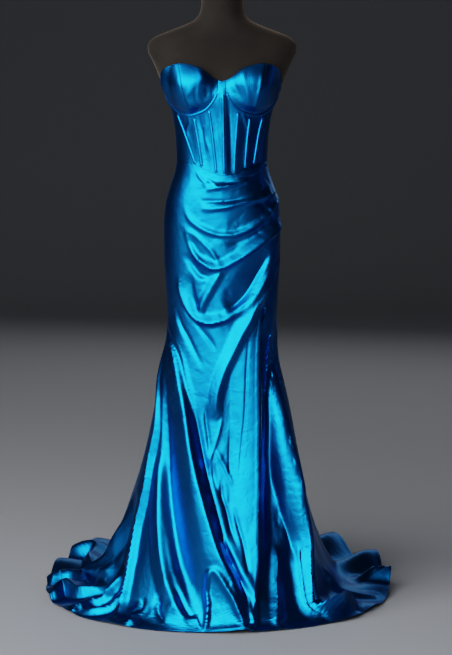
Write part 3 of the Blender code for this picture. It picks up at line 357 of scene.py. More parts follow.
# Folds, in millimetres: height of the ridge (negative for a hollow), how far it spreads on its
# first side and on its second, the radius of its crest and how far the crest leans to the first
# side. The first side is the upper one of a fold that runs from the wearer's right to the left,
# and the wearer's left of one that runs down. The run gives angle, level and strength.
HIP_FOLDS = [
    (8.0, 12, 6, 1.0, -1.0, [
        (-18, 1.095, 0.0), (-9, 1.099, 0.7), (6, 1.105, 1.0), (18, 1.111, 1.0), (28, 1.117, 0.5),
        (34, 1.120, 0.0)]),
    (-2.5, 4, 4, 1.0, 0.0, [
        (-23, 1.067, 0.0), (-12, 1.067, 1.0), (-1, 1.067, 1.0), (13, 1.070, 1.0),
        (30, 1.077, 0.3)]),
    (8.0, 14, 8, 1.0, -1.5, [
        (-22, 1.047, 0.0), (-13, 1.047, 0.5), (-3, 1.050, 0.8), (7, 1.054, 1.0), (24, 1.065, 1.0),
        (41, 1.073, 1.0), (57, 1.081, 0.6), (76, 1.090, 0.2)]),
    (6.0, 10, 8, 1.0, -1.5, [
        (-42, 1.059, 0.0), (-38, 1.039, 0.2), (-33, 1.021, 0.5), (-25, 1.006, 0.8),
        (-13, 0.990, 1.0), (-1, 0.982, 1.0), (9, 0.982, 1.0), (21, 0.991, 1.0), (36, 1.011, 1.0),
        (47, 1.029, 1.0), (61, 1.052, 0.8), (81, 1.079, 0.3)]),
    (11.0, 18, 10, 1.2, -2.0, [
        (-40, 1.009, 0.0), (-34, 0.968, 0.3), (-27, 0.931, 0.6), (-18, 0.911, 1.0),
        (-8, 0.898, 1.0), (1, 0.902, 1.0), (12, 0.917, 1.1), (26, 0.941, 1.2), (42, 0.969, 1.3),
        (57, 0.990, 1.3), (68, 1.006, 0.5)]),
    (-8.0, 14, 10, 3.0, 0.0, [
        (-38, 0.935, 0.0), (-33, 0.915, 0.7), (-28, 0.898, 1.0), (-21, 0.880, 1.0),
        (-12, 0.876, 0.2)]),
    (11.5, 34, 80, 12.0, 0.0, [
        (65, 1.110, 0.0), (62, 1.050, 0.8), (58, 1.000, 1.0), (54, 0.930, 0.9), (50, 0.880, 0.6),
        (45, 0.810, 0.0)]),
    (-5.0, 9, 9, 2.0, 0.0, [
        (-34, 0.978, 0.0), (-29, 0.958, 1.0), (-24, 0.938, 1.0), (-16, 0.918, 0.5),
        (-10, 0.911, 0.0)]),
    (3.5, 8, 5, 1.0, 0.0, [
        (-38, 0.996, 0.0), (-28, 0.981, 1.0), (-19, 0.961, 1.0), (-9, 0.934, 1.0),
        (-3, 0.908, 0.3)]),
    (-4.0, 12, 12, 3.0, 0.0, [
        (3, 0.954, 0.0), (18, 0.966, 1.0), (35, 0.988, 1.0), (51, 1.012, 0.3)]),
    (12.0, 20, 12, 1.2, -2.5, [
        (-49, 0.877, 0.0), (-48, 0.844, 0.3), (-42, 0.812, 0.6), (-34, 0.784, 0.8),
        (-24, 0.766, 1.0), (-13, 0.760, 1.0), (1, 0.767, 0.9), (11, 0.779, 0.7), (17, 0.786, 0.6),
        (29, 0.813, 0.5), (40, 0.850, 0.5), (48, 0.888, 0.5), (57, 0.925, 0.4), (66, 0.950, 0.1)]),
    (-5.0, 9, 14, 3.0, 0.0, [
        (-34, 0.881, 0.0), (-33, 0.853, 1.0), (-31, 0.823, 1.0), (-26, 0.787, 0.6),
        (-22, 0.772, 0.0)]),
    (8.0, 12, 16, 1.5, 0.0, [
        (1, 0.898, 0.0), (-6, 0.867, 1.0), (-14, 0.832, 1.0), (-21, 0.798, 1.0),
        (-24, 0.775, 0.2)]),
    (-9.0, 45, 5, 3.0, 0.0, [
        (4, 0.787, 0.0), (13, 0.800, 0.8), (26, 0.836, 1.0), (36, 0.876, 1.0), (44, 0.911, 0.8),
        (50, 0.941, 0.0)]),
    (3.0, 6, 6, 1.0, 0.0, [
        (5, 0.783, 0.0), (18, 0.801, 1.0), (30, 0.825, 1.0), (40, 0.858, 1.0), (49, 0.895, 0.0)]),
    (14.0, 16, 24, 1.5, 0.0, [
        (74, 0.933, 0.1), (53, 0.861, 1.0), (41, 0.819, 1.2), (34, 0.799, 1.1), (26, 0.759, 1.0),
        (18, 0.724, 1.0), (9, 0.676, 1.0), (0, 0.618, 1.0), (-4, 0.575, 1.0), (-5, 0.544, 0.8),
        (-3, 0.511, 0.0)]),
    (-3.5, 5, 5, 1.0, 0.0, [
        (-44, 0.803, 0.0), (-39, 0.783, 1.0), (-29, 0.759, 1.0), (-20, 0.734, 1.0),
        (-12, 0.712, 1.0), (-5, 0.684, 0.0)]),
    (-5.0, 6, 8, 1.5, 0.0, [
        (-56, 0.791, 0.0), (-50, 0.756, 1.0), (-37, 0.717, 1.0), (-25, 0.672, 0.5),
        (-18, 0.642, 0.0)]),
    (2.4, 5, 4, 1, 0.0, [
        (-21, 1.125, 0.0), (-14, 1.117, 1.0), (-6, 1.105, 1.0), (-2, 1.095, 0.0)]),
    (-2.6, 3, 4, 0.8, 0.0, [
        (0, 1.110, 0.0), (6, 1.114, 1.0), (16, 1.114, 1.0), (24, 1.117, 0.5), (30, 1.120, 0.0)]),
    (2.4, 4, 4, 1, 0.0, [
        (-33, 1.145, 0.0), (-28, 1.130, 1.0), (-21, 1.115, 1.0), (-18, 1.100, 0.0)]),
]
SKIRT_FOLDS = [
    (16.0, 10, 26, 2.0, 0.0, [
        (-82, 0.703, 0.0), (-82, 0.624, 0.5), (-70, 0.549, 0.7), (-63, 0.473, 0.8),
        (-61, 0.395, 1.0), (-58, 0.321, 1.0), (-57, 0.242, 1.0), (-54, 0.166, 1.0),
        (-51, 0.107, 1.0), (-47, 0.034, 0.9), (-41, -0.061, 0.4)]),
    (12.0, 12, 36, 2.5, 0.0, [
        (-53, 0.412, 0.0), (-47, 0.350, 0.6), (-43, 0.301, 0.8), (-37, 0.228, 1.0),
        (-32, 0.170, 1.0), (-26, 0.115, 1.0), (-20, 0.065, 0.8), (-15, 0.015, 0.4)]),
    (-18.0, 70, 14, 6.0, 0.0, [
        (-69, 0.693, 0.0), (-56, 0.566, 0.5), (-50, 0.491, 0.8), (-44, 0.415, 1.0),
        (-38, 0.331, 1.0), (-31, 0.256, 1.0), (-22, 0.162, 1.0), (-16, 0.111, 0.8),
        (-10, 0.039, 0.4)]),
    (40.0, 20, 85, 5.0, 0.0, [
        (-69, 0.711, 0.0), (-48, 0.654, 0.3), (-33, 0.559, 0.6), (-24, 0.458, 0.8),
        (-15, 0.360, 0.9), (-6, 0.262, 1.0), (1, 0.176, 1.0), (6, 0.126, 0.8), (9, 0.070, 0.45),
        (11, 0.010, 0.2), (12, -0.050, 0.0)]),
    (-9.0, 8, 8, 3.0, 0.0, [
        (-88, 0.741, 0.0), (-50, 0.676, 0.8), (-33, 0.587, 1.0), (-22, 0.502, 1.0),
        (-13, 0.403, 1.0), (-8, 0.344, 1.0), (-2, 0.277, 1.0), (4, 0.201, 1.0), (10, 0.139, 1.0),
        (15, 0.080, 0.8), (16, 0.019, 0.3)]),
    (7.0, 22, 7, 0.8, 0.0, [
        (-10, 0.366, 0.0), (-7, 0.331, 0.8), (-3, 0.285, 1.0), (0, 0.248, 1.0), (6, 0.199, 1.0),
        (11, 0.145, 1.0), (15, 0.080, 1.0), (15, 0.010, 0.8), (14, -0.048, 0.3)]),
    (22.0, 12, 65, 2.0, 0.0, [
        (45, 0.814, 0.3), (40, 0.737, 0.8), (34, 0.661, 1.0), (29, 0.509, 1.0), (24, 0.308, 1.0),
        (21, 0.161, 1.0), (17, 0.061, 0.7), (14, -0.046, 0.4)]),
    (-1.5, 3, 3, 0.8, 0.0, [
        (26, 0.721, 0.0), (22, 0.637, 1.0), (19, 0.548, 1.0), (15, 0.448, 1.0), (12, 0.348, 0.0)]),
    (-1.5, 3, 3, 0.8, 0.0, [(7, 0.499, 0.0), (6, 0.423, 1.0), (6, 0.349, 0.0)]),
    (-4.0, 4, 6, 1.0, 0.0, [
        (-14, 0.549, 0.0), (-13, 0.511, 1.0), (-10, 0.461, 1.0), (-8, 0.423, 0.0)]),
    (3.0, 5, 4, 0.8, 0.0, [
        (0, 0.522, 0.0), (-2, 0.486, 1.0), (-5, 0.449, 1.0), (-8, 0.416, 1.0), (-9, 0.393, 0.0)]),
    (3.0, 6, 4, 0.8, 0.0, [(-5, 0.441, 0.0), (0, 0.411, 1.0), (6, 0.369, 1.0), (8, 0.344, 0.0)]),
    (-4.0, 6, 6, 2.0, 0.0, [
        (-6, 0.406, 0.0), (-5, 0.374, 1.0), (-2, 0.336, 0.5), (1, 0.312, 0.0)]),
    (-5.0, 5, 5, 1.0, 0.0, [
        (0, 0.361, 0.0), (1, 0.327, 1.0), (5, 0.282, 1.0), (8, 0.238, 0.6), (11, 0.201, 0.0)]),
    (-4.0, 4, 6, 1.0, 0.0, [
        (9, 0.299, 0.0), (12, 0.249, 1.0), (15, 0.192, 1.0), (16, 0.139, 0.5)]),
    (9.0, 8, 9, 1.5, 0.0, [
        (-3, 0.149, 0.0), (-4, 0.133, 0.9), (-5, 0.094, 1.0), (-4, 0.053, 1.0), (-4, -0.037, 0.8),
        (-4, -0.156, 0.4)]),
    (9.0, 10, 8, 1.5, 0.0, [
        (-3, 0.149, 0.0), (0, 0.133, 0.9), (4, 0.102, 1.0), (8, 0.055, 1.0), (10, -0.011, 1.0),
        (9, -0.121, 0.5)]),
]
SLIT_SIDE_FOLDS = [
    (4.0, 4, 4, 1.0, 0.0, [
        (46, 0.813, 0.0), (52, 0.787, 1.0), (49, 0.756, 1.0), (46, 0.729, 0.0)]),
    (4.0, 5, 5, 1.0, 0.0, [
        (48, 0.757, 0.0), (44, 0.698, 1.0), (40, 0.622, 1.0), (36, 0.540, 0.0)]),
    (4.0, 5, 5, 1.0, 0.0, [
        (65, 0.764, 0.0), (60, 0.695, 1.0), (52, 0.619, 1.0), (44, 0.531, 0.0)]),
    (36.0, 32, 85, 4.0, -66.0, [
        (82, 0.640, 0.0), (78, 0.560, 0.35), (74, 0.480, 0.6), (72, 0.376, 0.85), (71, 0.298, 1.0),
        (70, 0.226, 1.1), (67, 0.162, 1.1), (62, 0.108, 1.0), (56, 0.021, 0.8),
        (54, -0.100, 0.4)]),
    (-34.0, 80, 40, 4.0, 0.0, [
        (77, 0.730, 0.0), (66, 0.642, 0.6), (57, 0.553, 1.0), (50, 0.452, 1.0), (42, 0.329, 0.9),
        (38, 0.228, 0.7), (31, 0.145, 0.4), (26, 0.055, 0.1)]),
    (14.0, 26, 14, 2.0, 0.0, [
        (39, 0.195, 0.0), (36, 0.156, 0.8), (32, 0.112, 1.0), (29, 0.058, 1.0), (26, 0.000, 1.0),
        (24, -0.036, 0.8), (22, -0.120, 0.4)]),
    (16.0, 16, 20, 2.0, 0.0, [
        (54, 0.190, 0.0), (48, 0.141, 0.9), (46, 0.105, 1.0), (44, 0.070, 1.0), (42, 0.015, 1.0),
        (40, -0.060, 0.8), (38, -0.120, 0.3)]),
    (8.0, 8, 10, 1.2, 0.0, [
        (66, 0.230, 0.0), (62, 0.176, 1.0), (57, 0.118, 1.0), (53, 0.070, 1.0), (47, 0.010, 0.5)]),
]
TRAIN_FOLDS = [
    (22.0, 36, 16, 4.0, 0.0, [
        (-84, 0.300, 0.0), (-82, 0.220, 0.5), (-84, 0.140, 1.0), (-86, 0.070, 1.0),
        (-84, 0.000, 0.8), (-80, -0.080, 0.3)]),
    (-20.0, 16, 50, 3.0, 0.0, [
        (-74, 0.300, 0.0), (-72, 0.220, 0.6), (-70, 0.160, 1.0), (-67, 0.120, 1.0),
        (-65, 0.070, 1.0), (-60, 0.020, 0.3)]),
    (44.0, 24, 50, 6.0, 0.0, [
        (-84, 0.090, 0.0), (-108, -0.020, 0.6), (-122, -0.090, 1.0), (-120, -0.150, 1.0),
        (-117, -0.190, 0.8)]),
    (38.0, 20, 45, 6.0, 0.0, [
        (-74, 0.110, 0.0), (-80, 0.065, 0.6), (-90, -0.001, 1.0), (-94, -0.081, 1.0),
        (-93, -0.147, 0.9)]),
    (32.0, 20, 40, 5.0, 0.0, [
        (-70, 0.056, 0.0), (-72, 0.020, 0.6), (-74, -0.041, 1.0), (-80, -0.100, 1.0),
        (-75, -0.152, 0.8)]),
    (22.0, 14, 36, 4.0, 0.0, [
        (-56, 0.120, 0.0), (-57, 0.090, 0.6), (-59, 0.030, 1.0), (-59, -0.030, 1.0),
        (-56, -0.115, 0.8)]),
    (18.0, 14, 24, 4.0, 0.0, [
        (-52, 0.060, 0.0), (-50, 0.020, 0.8), (-49, -0.040, 1.0), (-50, -0.100, 1.0),
        (-54, -0.140, 0.5)]),
    (12.0, 12, 16, 3.0, 0.0, [(-38, 0.049, 0.0), (-36, -0.002, 1.0), (-32, -0.095, 0.8)]),
    (-9.0, 7, 9, 1.5, 0.0, [(-37, 0.062, 0.0), (-36, 0.019, 1.0), (-36, -0.033, 0.3)]),
    (-9.0, 6, 9, 1.5, 0.0, [(-29, 0.088, 0.0), (-28, 0.043, 1.0), (-23, -0.013, 0.5)]),
    (-8.0, 7, 8, 1.5, 0.0, [(-21, 0.106, 0.0), (-17, 0.067, 1.0), (-12, 0.022, 0.8)]),
    (46.0, 40, 28, 6.0, 0.0, [
        (95, -0.020, 0.0), (94, -0.070, 0.5), (92, -0.120, 1.0), (90, -0.180, 1.0)]),
    (45.0, 25, 45, 4.0, 0.0, [
        (42, -0.020, 0.0), (47, -0.030, 0.7), (52, -0.040, 1.0), (57, -0.045, 1.0),
        (61, -0.060, 0.8), (64, -0.090, 0.0)]),
    (14.0, 30, 20, 3.0, 0.0, [
        (66, 0.130, 0.0), (73, 0.060, 1.0), (74, -0.034, 1.0), (75, -0.125, 0.6)]),
]

# Puckers of the bodice between its bones, in the same columns.
BODICE_PUCKERS = [
    (5.0, 14, 25, 1.0, 0.0, [
        (0, 1.360, 0.0), (1, 1.333, 0.6), (2, 1.245, 1.0), (4, 1.170, 1.0), (4, 1.130, 0.5)]),
    (2.2, 14, 9, 0.8, 0.0, [
        (18, 1.300, 0.0), (18, 1.270, 1.0), (18, 1.208, 1.0), (15, 1.145, 0.6)]),
    (2.2, 12, 8, 0.8, 0.0, [
        (33, 1.285, 0.0), (34, 1.260, 1.0), (32, 1.208, 1.0), (30, 1.160, 0.6)]),
    (2.0, 10, 8, 0.8, 0.0, [
        (50, 1.301, 0.0), (53, 1.271, 1.0), (49, 1.208, 1.0), (44, 1.170, 0.5)]),
    (2.0, 14, 14, 0.8, 0.0, [
        (-14, 1.300, 0.0), (-14, 1.270, 1.0), (-11, 1.208, 1.0), (-7, 1.145, 0.5)]),
    (2.0, 10, 14, 0.8, 0.0, [
        (-33, 1.285, 0.0), (-33, 1.258, 1.0), (-30, 1.208, 1.0), (-26, 1.160, 0.5)]),
    (1.6, 5, 5, 1, 0.0, [
        (-44, 1.291, 0.0), (-42, 1.265, 1.0), (-48, 1.240, 1.0), (-44, 1.215, 0.0)]),
    (-1.6, 5, 5, 1, 0.0, [
        (-26, 1.290, 0.0), (-27, 1.265, 1.0), (-24, 1.235, 1.0), (-22, 1.195, 1.0),
        (-23, 1.155, 0.3)]),
    (1.6, 5, 6, 1, 0.0, [
        (-20, 1.290, 0.0), (-19, 1.260, 1.0), (-21, 1.230, 1.0), (-16, 1.195, 1.0),
        (-14, 1.150, 0.3)]),
    (-1.2, 4, 4, 1, 0.0, [(-6, 1.300, 0.0), (-7, 1.258, 1.0), (-4, 1.208, 1.0), (-1, 1.145, 0.3)]),
    (-1.5, 4, 5, 1, 0.0, [(7, 1.325, 0.0), (8, 1.283, 1.0), (10, 1.220, 1.0), (10, 1.145, 0.3)]),
    (1.8, 4, 5, 1, 0.0, [(23, 1.300, 0.0), (26, 1.280, 1.0), (31, 1.255, 0.5), (33, 1.240, 0.0)]),
    (2.4, 6, 6, 1, 0.0, [
        (-27, 1.350, 0.0), (-34, 1.328, 1.0), (-32, 1.308, 1.0), (-39, 1.288, 0.5)]),
    (-2.0, 5, 5, 1, 0.0, [
        (-22, 1.360, 0.0), (-26, 1.330, 1.0), (-25, 1.305, 1.0), (-30, 1.290, 0.3)]),
    (1.6, 5, 5, 1, 0.0, [(-14, 1.370, 0.0), (-18, 1.340, 1.0), (-17, 1.320, 0.0)]),
    (1.8, 9, 6, 1, 0.0, [(14, 1.395, 0.0), (19, 1.365, 1.0), (25, 1.330, 1.0), (29, 1.300, 0.3)]),
    (-1.2, 4, 4, 1, 0.0, [(8, 1.370, 0.0), (15, 1.345, 1.0), (21, 1.315, 0.0)]),
    (2.2, 10, 4, 1, 0.0, [(34, 1.380, 0.0), (34, 1.350, 1.0), (34, 1.325, 1.0), (35, 1.300, 0.3)]),
    (10.0, 26, 34, 5.0, 0.0, [
        (-55, 1.410, 0.5), (-59, 1.385, 1.0), (-65, 1.355, 0.9), (-70, 1.325, 0.4),
        (-72, 1.305, 0.0)]),
    (-4.0, 12, 12, 3.0, 0.0, [
        (-14, 1.368, 0.0), (-17, 1.342, 1.0), (-19, 1.318, 0.6), (-22, 1.300, 0.0)]),
]

# Waves of the train along the floor: angle, height, half width in degrees.
TRAIN_WAVES = [
    (-128, 0.046, 9.0), (-104, 0.032, 8.0), (-84, 0.018, 7.0), (-62, 0.010, 6.0), (-36, 0.006, 7.0),
    (8, 0.011, 9.0), (62, 0.012, 7.0), (86, 0.024, 8.0), (108, 0.046, 8.0),
    (132, 0.050, 9.0), (157, 0.050, 9.0), (180, 0.040, 8.0), (-155, 0.048, 9.0),
]

# Flutes of the back, in the same columns, their height the one at the hem.
BACK_FLUTES = [
    (-160, 0.030, 9.0), (-135, 0.026, 8.0), (-110, 0.024, 8.0), (110, 0.024, 8.0),
    (136, 0.028, 8.0), (161, 0.030, 9.0),
]

# Small creases, scattered over parts of the cloth: seed, count, range of angles, range of
# levels, degrees turned for each metre risen, length in metres, and then the height and the
# width in millimetres.
CREASE_PATCHES = [
    (3, 16, (-30, 30), (1.085, 1.125), 900.0, 0.012, 0.6, 3.0),
    (5, 30, (36, 66), (0.95, 1.12), -260.0, 0.030, 1.6, 3.5),
    (7, 24, (-8, 26), (0.02, 0.50), 25.0, 0.050, 1.0, 5.0),
    (11, 30, (42, 74), (0.05, 0.45), 30.0, 0.060, 1.6, 5.0),
    (13, 22, (-25, 15), (0.90, 1.02), 420.0, 0.030, 0.8, 4.0),
    (17, 20, (-35, 10), (0.72, 0.86), -180.0, 0.040, 0.8, 4.0),
    (19, 40, (-88, -20), (-0.10, 0.20), 60.0, 0.060, 2.0, 7.0),
    (23, 24, (-28, 28), (1.15, 1.26), 40.0, 0.040, 0.4, 3.0),
]

# Rows of the skirt, closer together over its folds and its hem: share up the piece, level.
SKIRT_ROWS = [
    (0.00, HEM_LEVEL), (0.012, -0.170), (0.05, -0.130), (0.14, -0.030), (0.20, 0.040),
    (0.26, 0.120), (0.36, 0.280), (0.48, 0.500), (0.60, 0.700), (0.78, 0.900), (1.00, 1.120),
]


# ------------------------------------------------------------------ curves through tables

def smooth_curve(table, where):
    """Values of a table's other columns at places along its first one, without overshoot."""
    rows = np.array(sorted(table), dtype=float)
    places, values = rows[:, 0], rows[:, 1:]
    step = np.diff(places)[:, None]
    slope = np.diff(values, axis=0) / step
    tangent = np.zeros_like(values)
    tangent[0], tangent[-1] = slope[0], slope[-1]
    before, after = slope[:-1], slope[1:]
    same_way = before * after > 0.0
    weight_1 = 2.0 * step[1:] + step[:-1]
    weight_2 = step[1:] + 2.0 * step[:-1]
    safe_before = np.where(same_way, before, 1.0)
    safe_after = np.where(same_way, after, 1.0)
    mean = (weight_1 + weight_2) / (weight_1 / safe_before + weight_2 / safe_after)
    tangent[1:-1] = np.where(same_way, mean, 0.0)
    where = np.clip(np.asarray(where, dtype=float), places[0], places[-1])
    left = np.clip(np.searchsorted(places, where, side="right") - 1, 0, len(places) - 2)
    width = step[left, 0][..., None]
    t = (where - places[left])[..., None] / width
    return (values[left] * (1 + 2 * t) * (1 - t) ** 2 + width * tangent[left] * t * (1 - t) ** 2
            + values[left + 1] * t * t * (3 - 2 * t) + width * tangent[left + 1] * t * t * (t - 1))


def smooth_step(value, start, end):
    """0 before the start, 1 after the end and an S between them."""
    t = np.clip((value - start) / (end - start), 0.0, 1.0)
    return t * t * (3.0 - 2.0 * t)


def below(level, top, bottom):
    """0 above the top level, 1 under the bottom one."""
    return smooth_step(-level, -top, -bottom)


def neckline(angle):
    return smooth_curve(NECKLINE, np.abs(angle))[..., 0]


def underwire(angle):
    return smooth_curve(UNDERWIRE, np.abs(angle))[..., 0]


def waist_seam(angle):
    return smooth_curve(WAIST_SEAM, angle)[..., 0]


def slit_edge(level):
    return smooth_curve(SLIT_EDGE, level)[..., 0]


def crowd_ends(share, amount=0.55):
    """The same range with its steps closer together at both ends."""
    return share - amount * np.sin(2.0 * np.pi * share) / (2.0 * np.pi)


# ------------------------------------------------------------------ the surface of the gown

def body_point(angle, level, fullness=BUST_FULLNESS):
    """The body's and skirt's surface without folds."""
    angle, level = np.broadcast_arrays(angle, level)
    section = smooth_curve(SECTIONS, level)
    height, middle, half_width, front, widest, back = np.moveaxis(section, -1, 0)
    turn = np.radians(angle)
    depth = np.where(np.cos(turn) > 0.0, widest - front, back - widest)
    bust = sum(np.exp(-((angle - side) / BUST_SPREAD_ANGLE) ** 2)
               for side in (-BUST_ANGLE, BUST_ANGLE))
    bust = fullness * bust * np.exp(-((level - BUST_LEVEL) / BUST_SPREAD_LEVEL) ** 2)
    x = middle + (half_width + BUST_SIDE_SHARE * bust) * np.sin(turn)
    y = widest - (depth + bust) * np.cos(turn)
    return np.stack([x, y, height], axis=-1)


def surface_normal(point_at, angle, level):
    """Unit normals that point out of the gown, from a surface function."""
    turn, rise = 0.4, 0.0015
    across = point_at(angle + turn, level) - point_at(angle - turn, level)
    along = point_at(angle, level + rise) - point_at(angle, level - rise)
    normal = np.cross(across, along)
    return normal / np.linalg.norm(normal, axis=-1, keepdims=True)


def unit(vectors):
    return vectors / np.maximum(np.linalg.norm(vectors, axis=-1, keepdims=True), 1e-9)


def prepare_run(fold, steps=FOLD_STEPS):
    """A fold's line on the plain surface, with its direction and the way its first side lies."""
    height, first_side, second_side, crest, lean, run = fold
    rows = [(index,) + tuple(row) for index, row in enumerate(run)]
    line = smooth_curve(rows, np.linspace(0, len(run) - 1, steps))
    points = body_point(line[:, 0], line[:, 1])
    ahead = unit(np.gradient(points, axis=0))
    out = surface_normal(body_point, line[:, 0], line[:, 1])
    side = unit(np.cross(out, ahead))
    reach = FOLD_REACH * max(first_side, second_side) * MM
    return {
        "height": height * MM, "first": first_side * MM, "second": second_side * MM,
        "crest": crest * MM, "lean": lean * MM, "strength": line[:, 2],
        "points": points, "ahead": ahead, "side": side,
        "low": points.min(axis=0) - reach, "high": points.max(axis=0) + reach,
    }


def scattered_creases(seed, count, angles, levels, slope, length, height, width):
    """The creases of one patch, each a fold in the columns of the tables of folds."""
    random = np.random.default_rng(seed)
    creases = []
    for _ in range(count):
        angle, level = random.uniform(*angles), random.uniform(*levels)
        half = 0.5 * length * random.uniform(0.5, 1.4)
        bend = random.uniform(-2.0, 2.0)
        rise = random.choice([-1.0, 1.0]) * height * random.uniform(0.4, 1.0)
        wide = 2.0 * width * random.uniform(0.7, 1.3)
        tilt = slope * random.uniform(0.6, 1.4)
        run = [(angle - tilt * half, level - half, 0.0), (angle + bend, level, 1.0),
               (angle + tilt * half, level + half, 0.0)]
        creases.append((rise, wide, wide, CREASE_CREST, 0.0, run))
    return creases


SKIRT_RUNS = [prepare_run(fold)
              for fold in HIP_FOLDS + SKIRT_FOLDS + SLIT_SIDE_FOLDS + TRAIN_FOLDS]
CREASE_RUNS = [prepare_run(crease, CREASE_STEPS)
               for patch in CREASE_PATCHES for crease in scattered_creases(*patch)]
PUCKER_RUNS = [prepare_run(fold) for fold in BODICE_PUCKERS]


def ridges_round(table, angle):
    """Ridges that stand round the body at the angles of a table."""
    total = np.zeros(np.shape(angle))
    for middle, height, half_width in table:
        turn = (angle - middle + 180.0) % 360.0 - 180.0
        total += height * np.exp(-(turn / half_width) ** 2)
    return total


def add_runs(runs, plain, rise, slide):
    """Add the folds of these runs to the rise off the plain surface and the slide along it."""
    for run in runs:
        inside = np.flatnonzero(((plain > run["low"]) & (plain < run["high"])).all(axis=1))
        if not len(inside):
            continue
        offset = plain[inside, None, :] - run["points"]
        nearest = (offset ** 2).sum(axis=2).argmin(axis=1)
        offset = offset[np.arange(len(inside)), nearest]
        along = (offset * run["ahead"][nearest]).sum(axis=1)
        last = len(run["points"]) - 1
        inner = (nearest > 0) & (nearest < last)
        beyond = np.where(inner, 0.0, along)
        across = (offset * run["side"][nearest]).sum(axis=1)
        spread = np.where(across > 0.0, run["first"], run["second"])
        away = np.sqrt(across ** 2 + beyond ** 2 + run["crest"] ** 2) - run["crest"]
        drop = 1.0 - away / spread
        toe = np.minimum(FOLD_TOE / spread, 0.5)
        shape = run["strength"][nearest] * 0.5 * (drop + np.sqrt(drop ** 2 + toe ** 2))
        rise[inside] += run["height"] * shape
        slide[inside] += (run["lean"] * shape)[:, None] * run["side"][nearest]


def cup_puff(angle, level):
    """How far a cup's panels stand off the plain surface, ridged along the seam between them."""
    wire, top = underwire(angle), neckline(angle)
    away = np.abs(angle)
    from_end = CUP_OUTER_END - away
    up = np.clip((level - wire) / np.maximum(top - wire, 1e-4), 0.0, 1.0)
    ends = (smooth_step(away, CUP_INNER_END, CUP_INNER_FULL)
            * smooth_step(from_end, 0.0, CUP_OUTER_FADE))
    inside = (away < CUP_OUTER_END) & (level > wire) & (level < top + CUP_TOP_MARGIN)
    from_seam = np.sqrt((away - CUP_SEAM_ANGLE) ** 2 + CUP_RIDGE_ROUND ** 2) / CUP_RIDGE_SPREAD
    ridge = CUP_RIDGE * np.maximum(1.0 - from_seam, 0.0)
    rise = (CUP_PUFF + ridge) * smooth_step(up, 0.0, CUP_FOOT_SHARE)
    top_lift = CUP_TOP_LIFT * smooth_step(up, CUP_TOP_START, 1.0)
    top_lift = top_lift * smooth_step(from_end, *CUP_TOP_FADE)
    return np.where(inside, ends * (rise + top_lift), 0.0)


def gown_point(angle, level):
    """The outer face of the gown, folds and all."""
    angle, level = np.broadcast_arrays(np.asarray(angle, dtype=float), level)
    shape = angle.shape
    angle, level = angle.ravel(), level.ravel()
    plain = body_point(angle, level)
    normal = surface_normal(body_point, angle, level)
    rise, slide = np.zeros(len(plain)), np.zeros_like(plain)
    add_runs(SKIRT_RUNS, plain, rise, slide)
    add_runs(CREASE_RUNS, plain, rise, slide)
    rise += ridges_round(TRAIN_WAVES, angle) * below(level, *TRAIN_WAVES_LEVELS)
    rise += ridges_round(BACK_FLUTES, angle) * below(level, *BACK_FLUTES_LEVELS)
    on_skirt = level < waist_seam(angle)
    fade = np.where(on_skirt, smooth_step(waist_seam(angle) - level, *WAIST_FADE), 0.0)
    rise *= fade
    slide *= fade[:, None]
    pucker, pucker_slide = np.zeros(len(plain)), np.zeros_like(plain)
    add_runs(PUCKER_RUNS, plain, pucker, pucker_slide)
    rise += np.where(on_skirt, 0.0, pucker) + cup_puff(angle, level)
    return (plain + normal * rise[:, None] + slide).reshape(shape + (3,))


def degrees_for(distance, angle, level):
    """The turn round the body that makes a distance along the cloth."""
    side = np.linalg.norm(body_point(angle + 0.5, level) - body_point(angle - 0.5, level), axis=-1)
    return distance / side


# ------------------------------------------------------------------ materials

def linear(hex_color):
    """An sRGB hex colour as the linear numbers that a shader takes."""
    parts = [int(hex_color[index:index + 2], 16) / 255.0 for index in (1, 3, 5)]
    return tuple(part / 12.92 if part <= 0.04045 else ((part + 0.055) / 1.055) ** 2.4
                 for part in parts) + (1.0,)


def add_node(tree, kind, settings=None, values=None, links=None):
    """Add a node with its settings, socket values and the outputs that feed its sockets."""
    node = tree.nodes.new(kind)
    for name, value in (settings or {}).items():
        setattr(node, name, value)
    for socket, value in (values or {}).items():
        node.inputs[socket].default_value = value
    for socket, output in (links or {}).items():
        tree.links.new(output, node.inputs[socket])
    return node


def start_material(name, values):
    """A new material, with values on its shader's own sockets."""
    material = bpy.data.materials.new(name)
    material.use_nodes = True
    tree = material.node_tree
    surface = tree.nodes["Principled BSDF"]
    for socket, value in values.items():
        surface.inputs[socket].default_value = value
    return material, tree, surface


def tint(tree, surface, where, scale, detail, low, high):
    """Colour a surface by a noise, from one stop of place and hex colour to another.

    Returns the noise, so that a relief can follow it."""
    noise = add_node(tree, "ShaderNodeTexNoise", values={"Scale": scale, "Detail": detail},
                     links={"Vector": where})
    ramp = add_node(tree, "ShaderNodeValToRGB", links={"Fac": noise.outputs["Fac"]})
    for stop, (place, hex_color) in zip(ramp.color_ramp.elements, (low, high)):
        stop.position = place
        stop.color = linear(hex_color)
    tree.links.new(ramp.outputs["Color"], surface.inputs["Base Color"])
    return noise.outputs["Fac"]


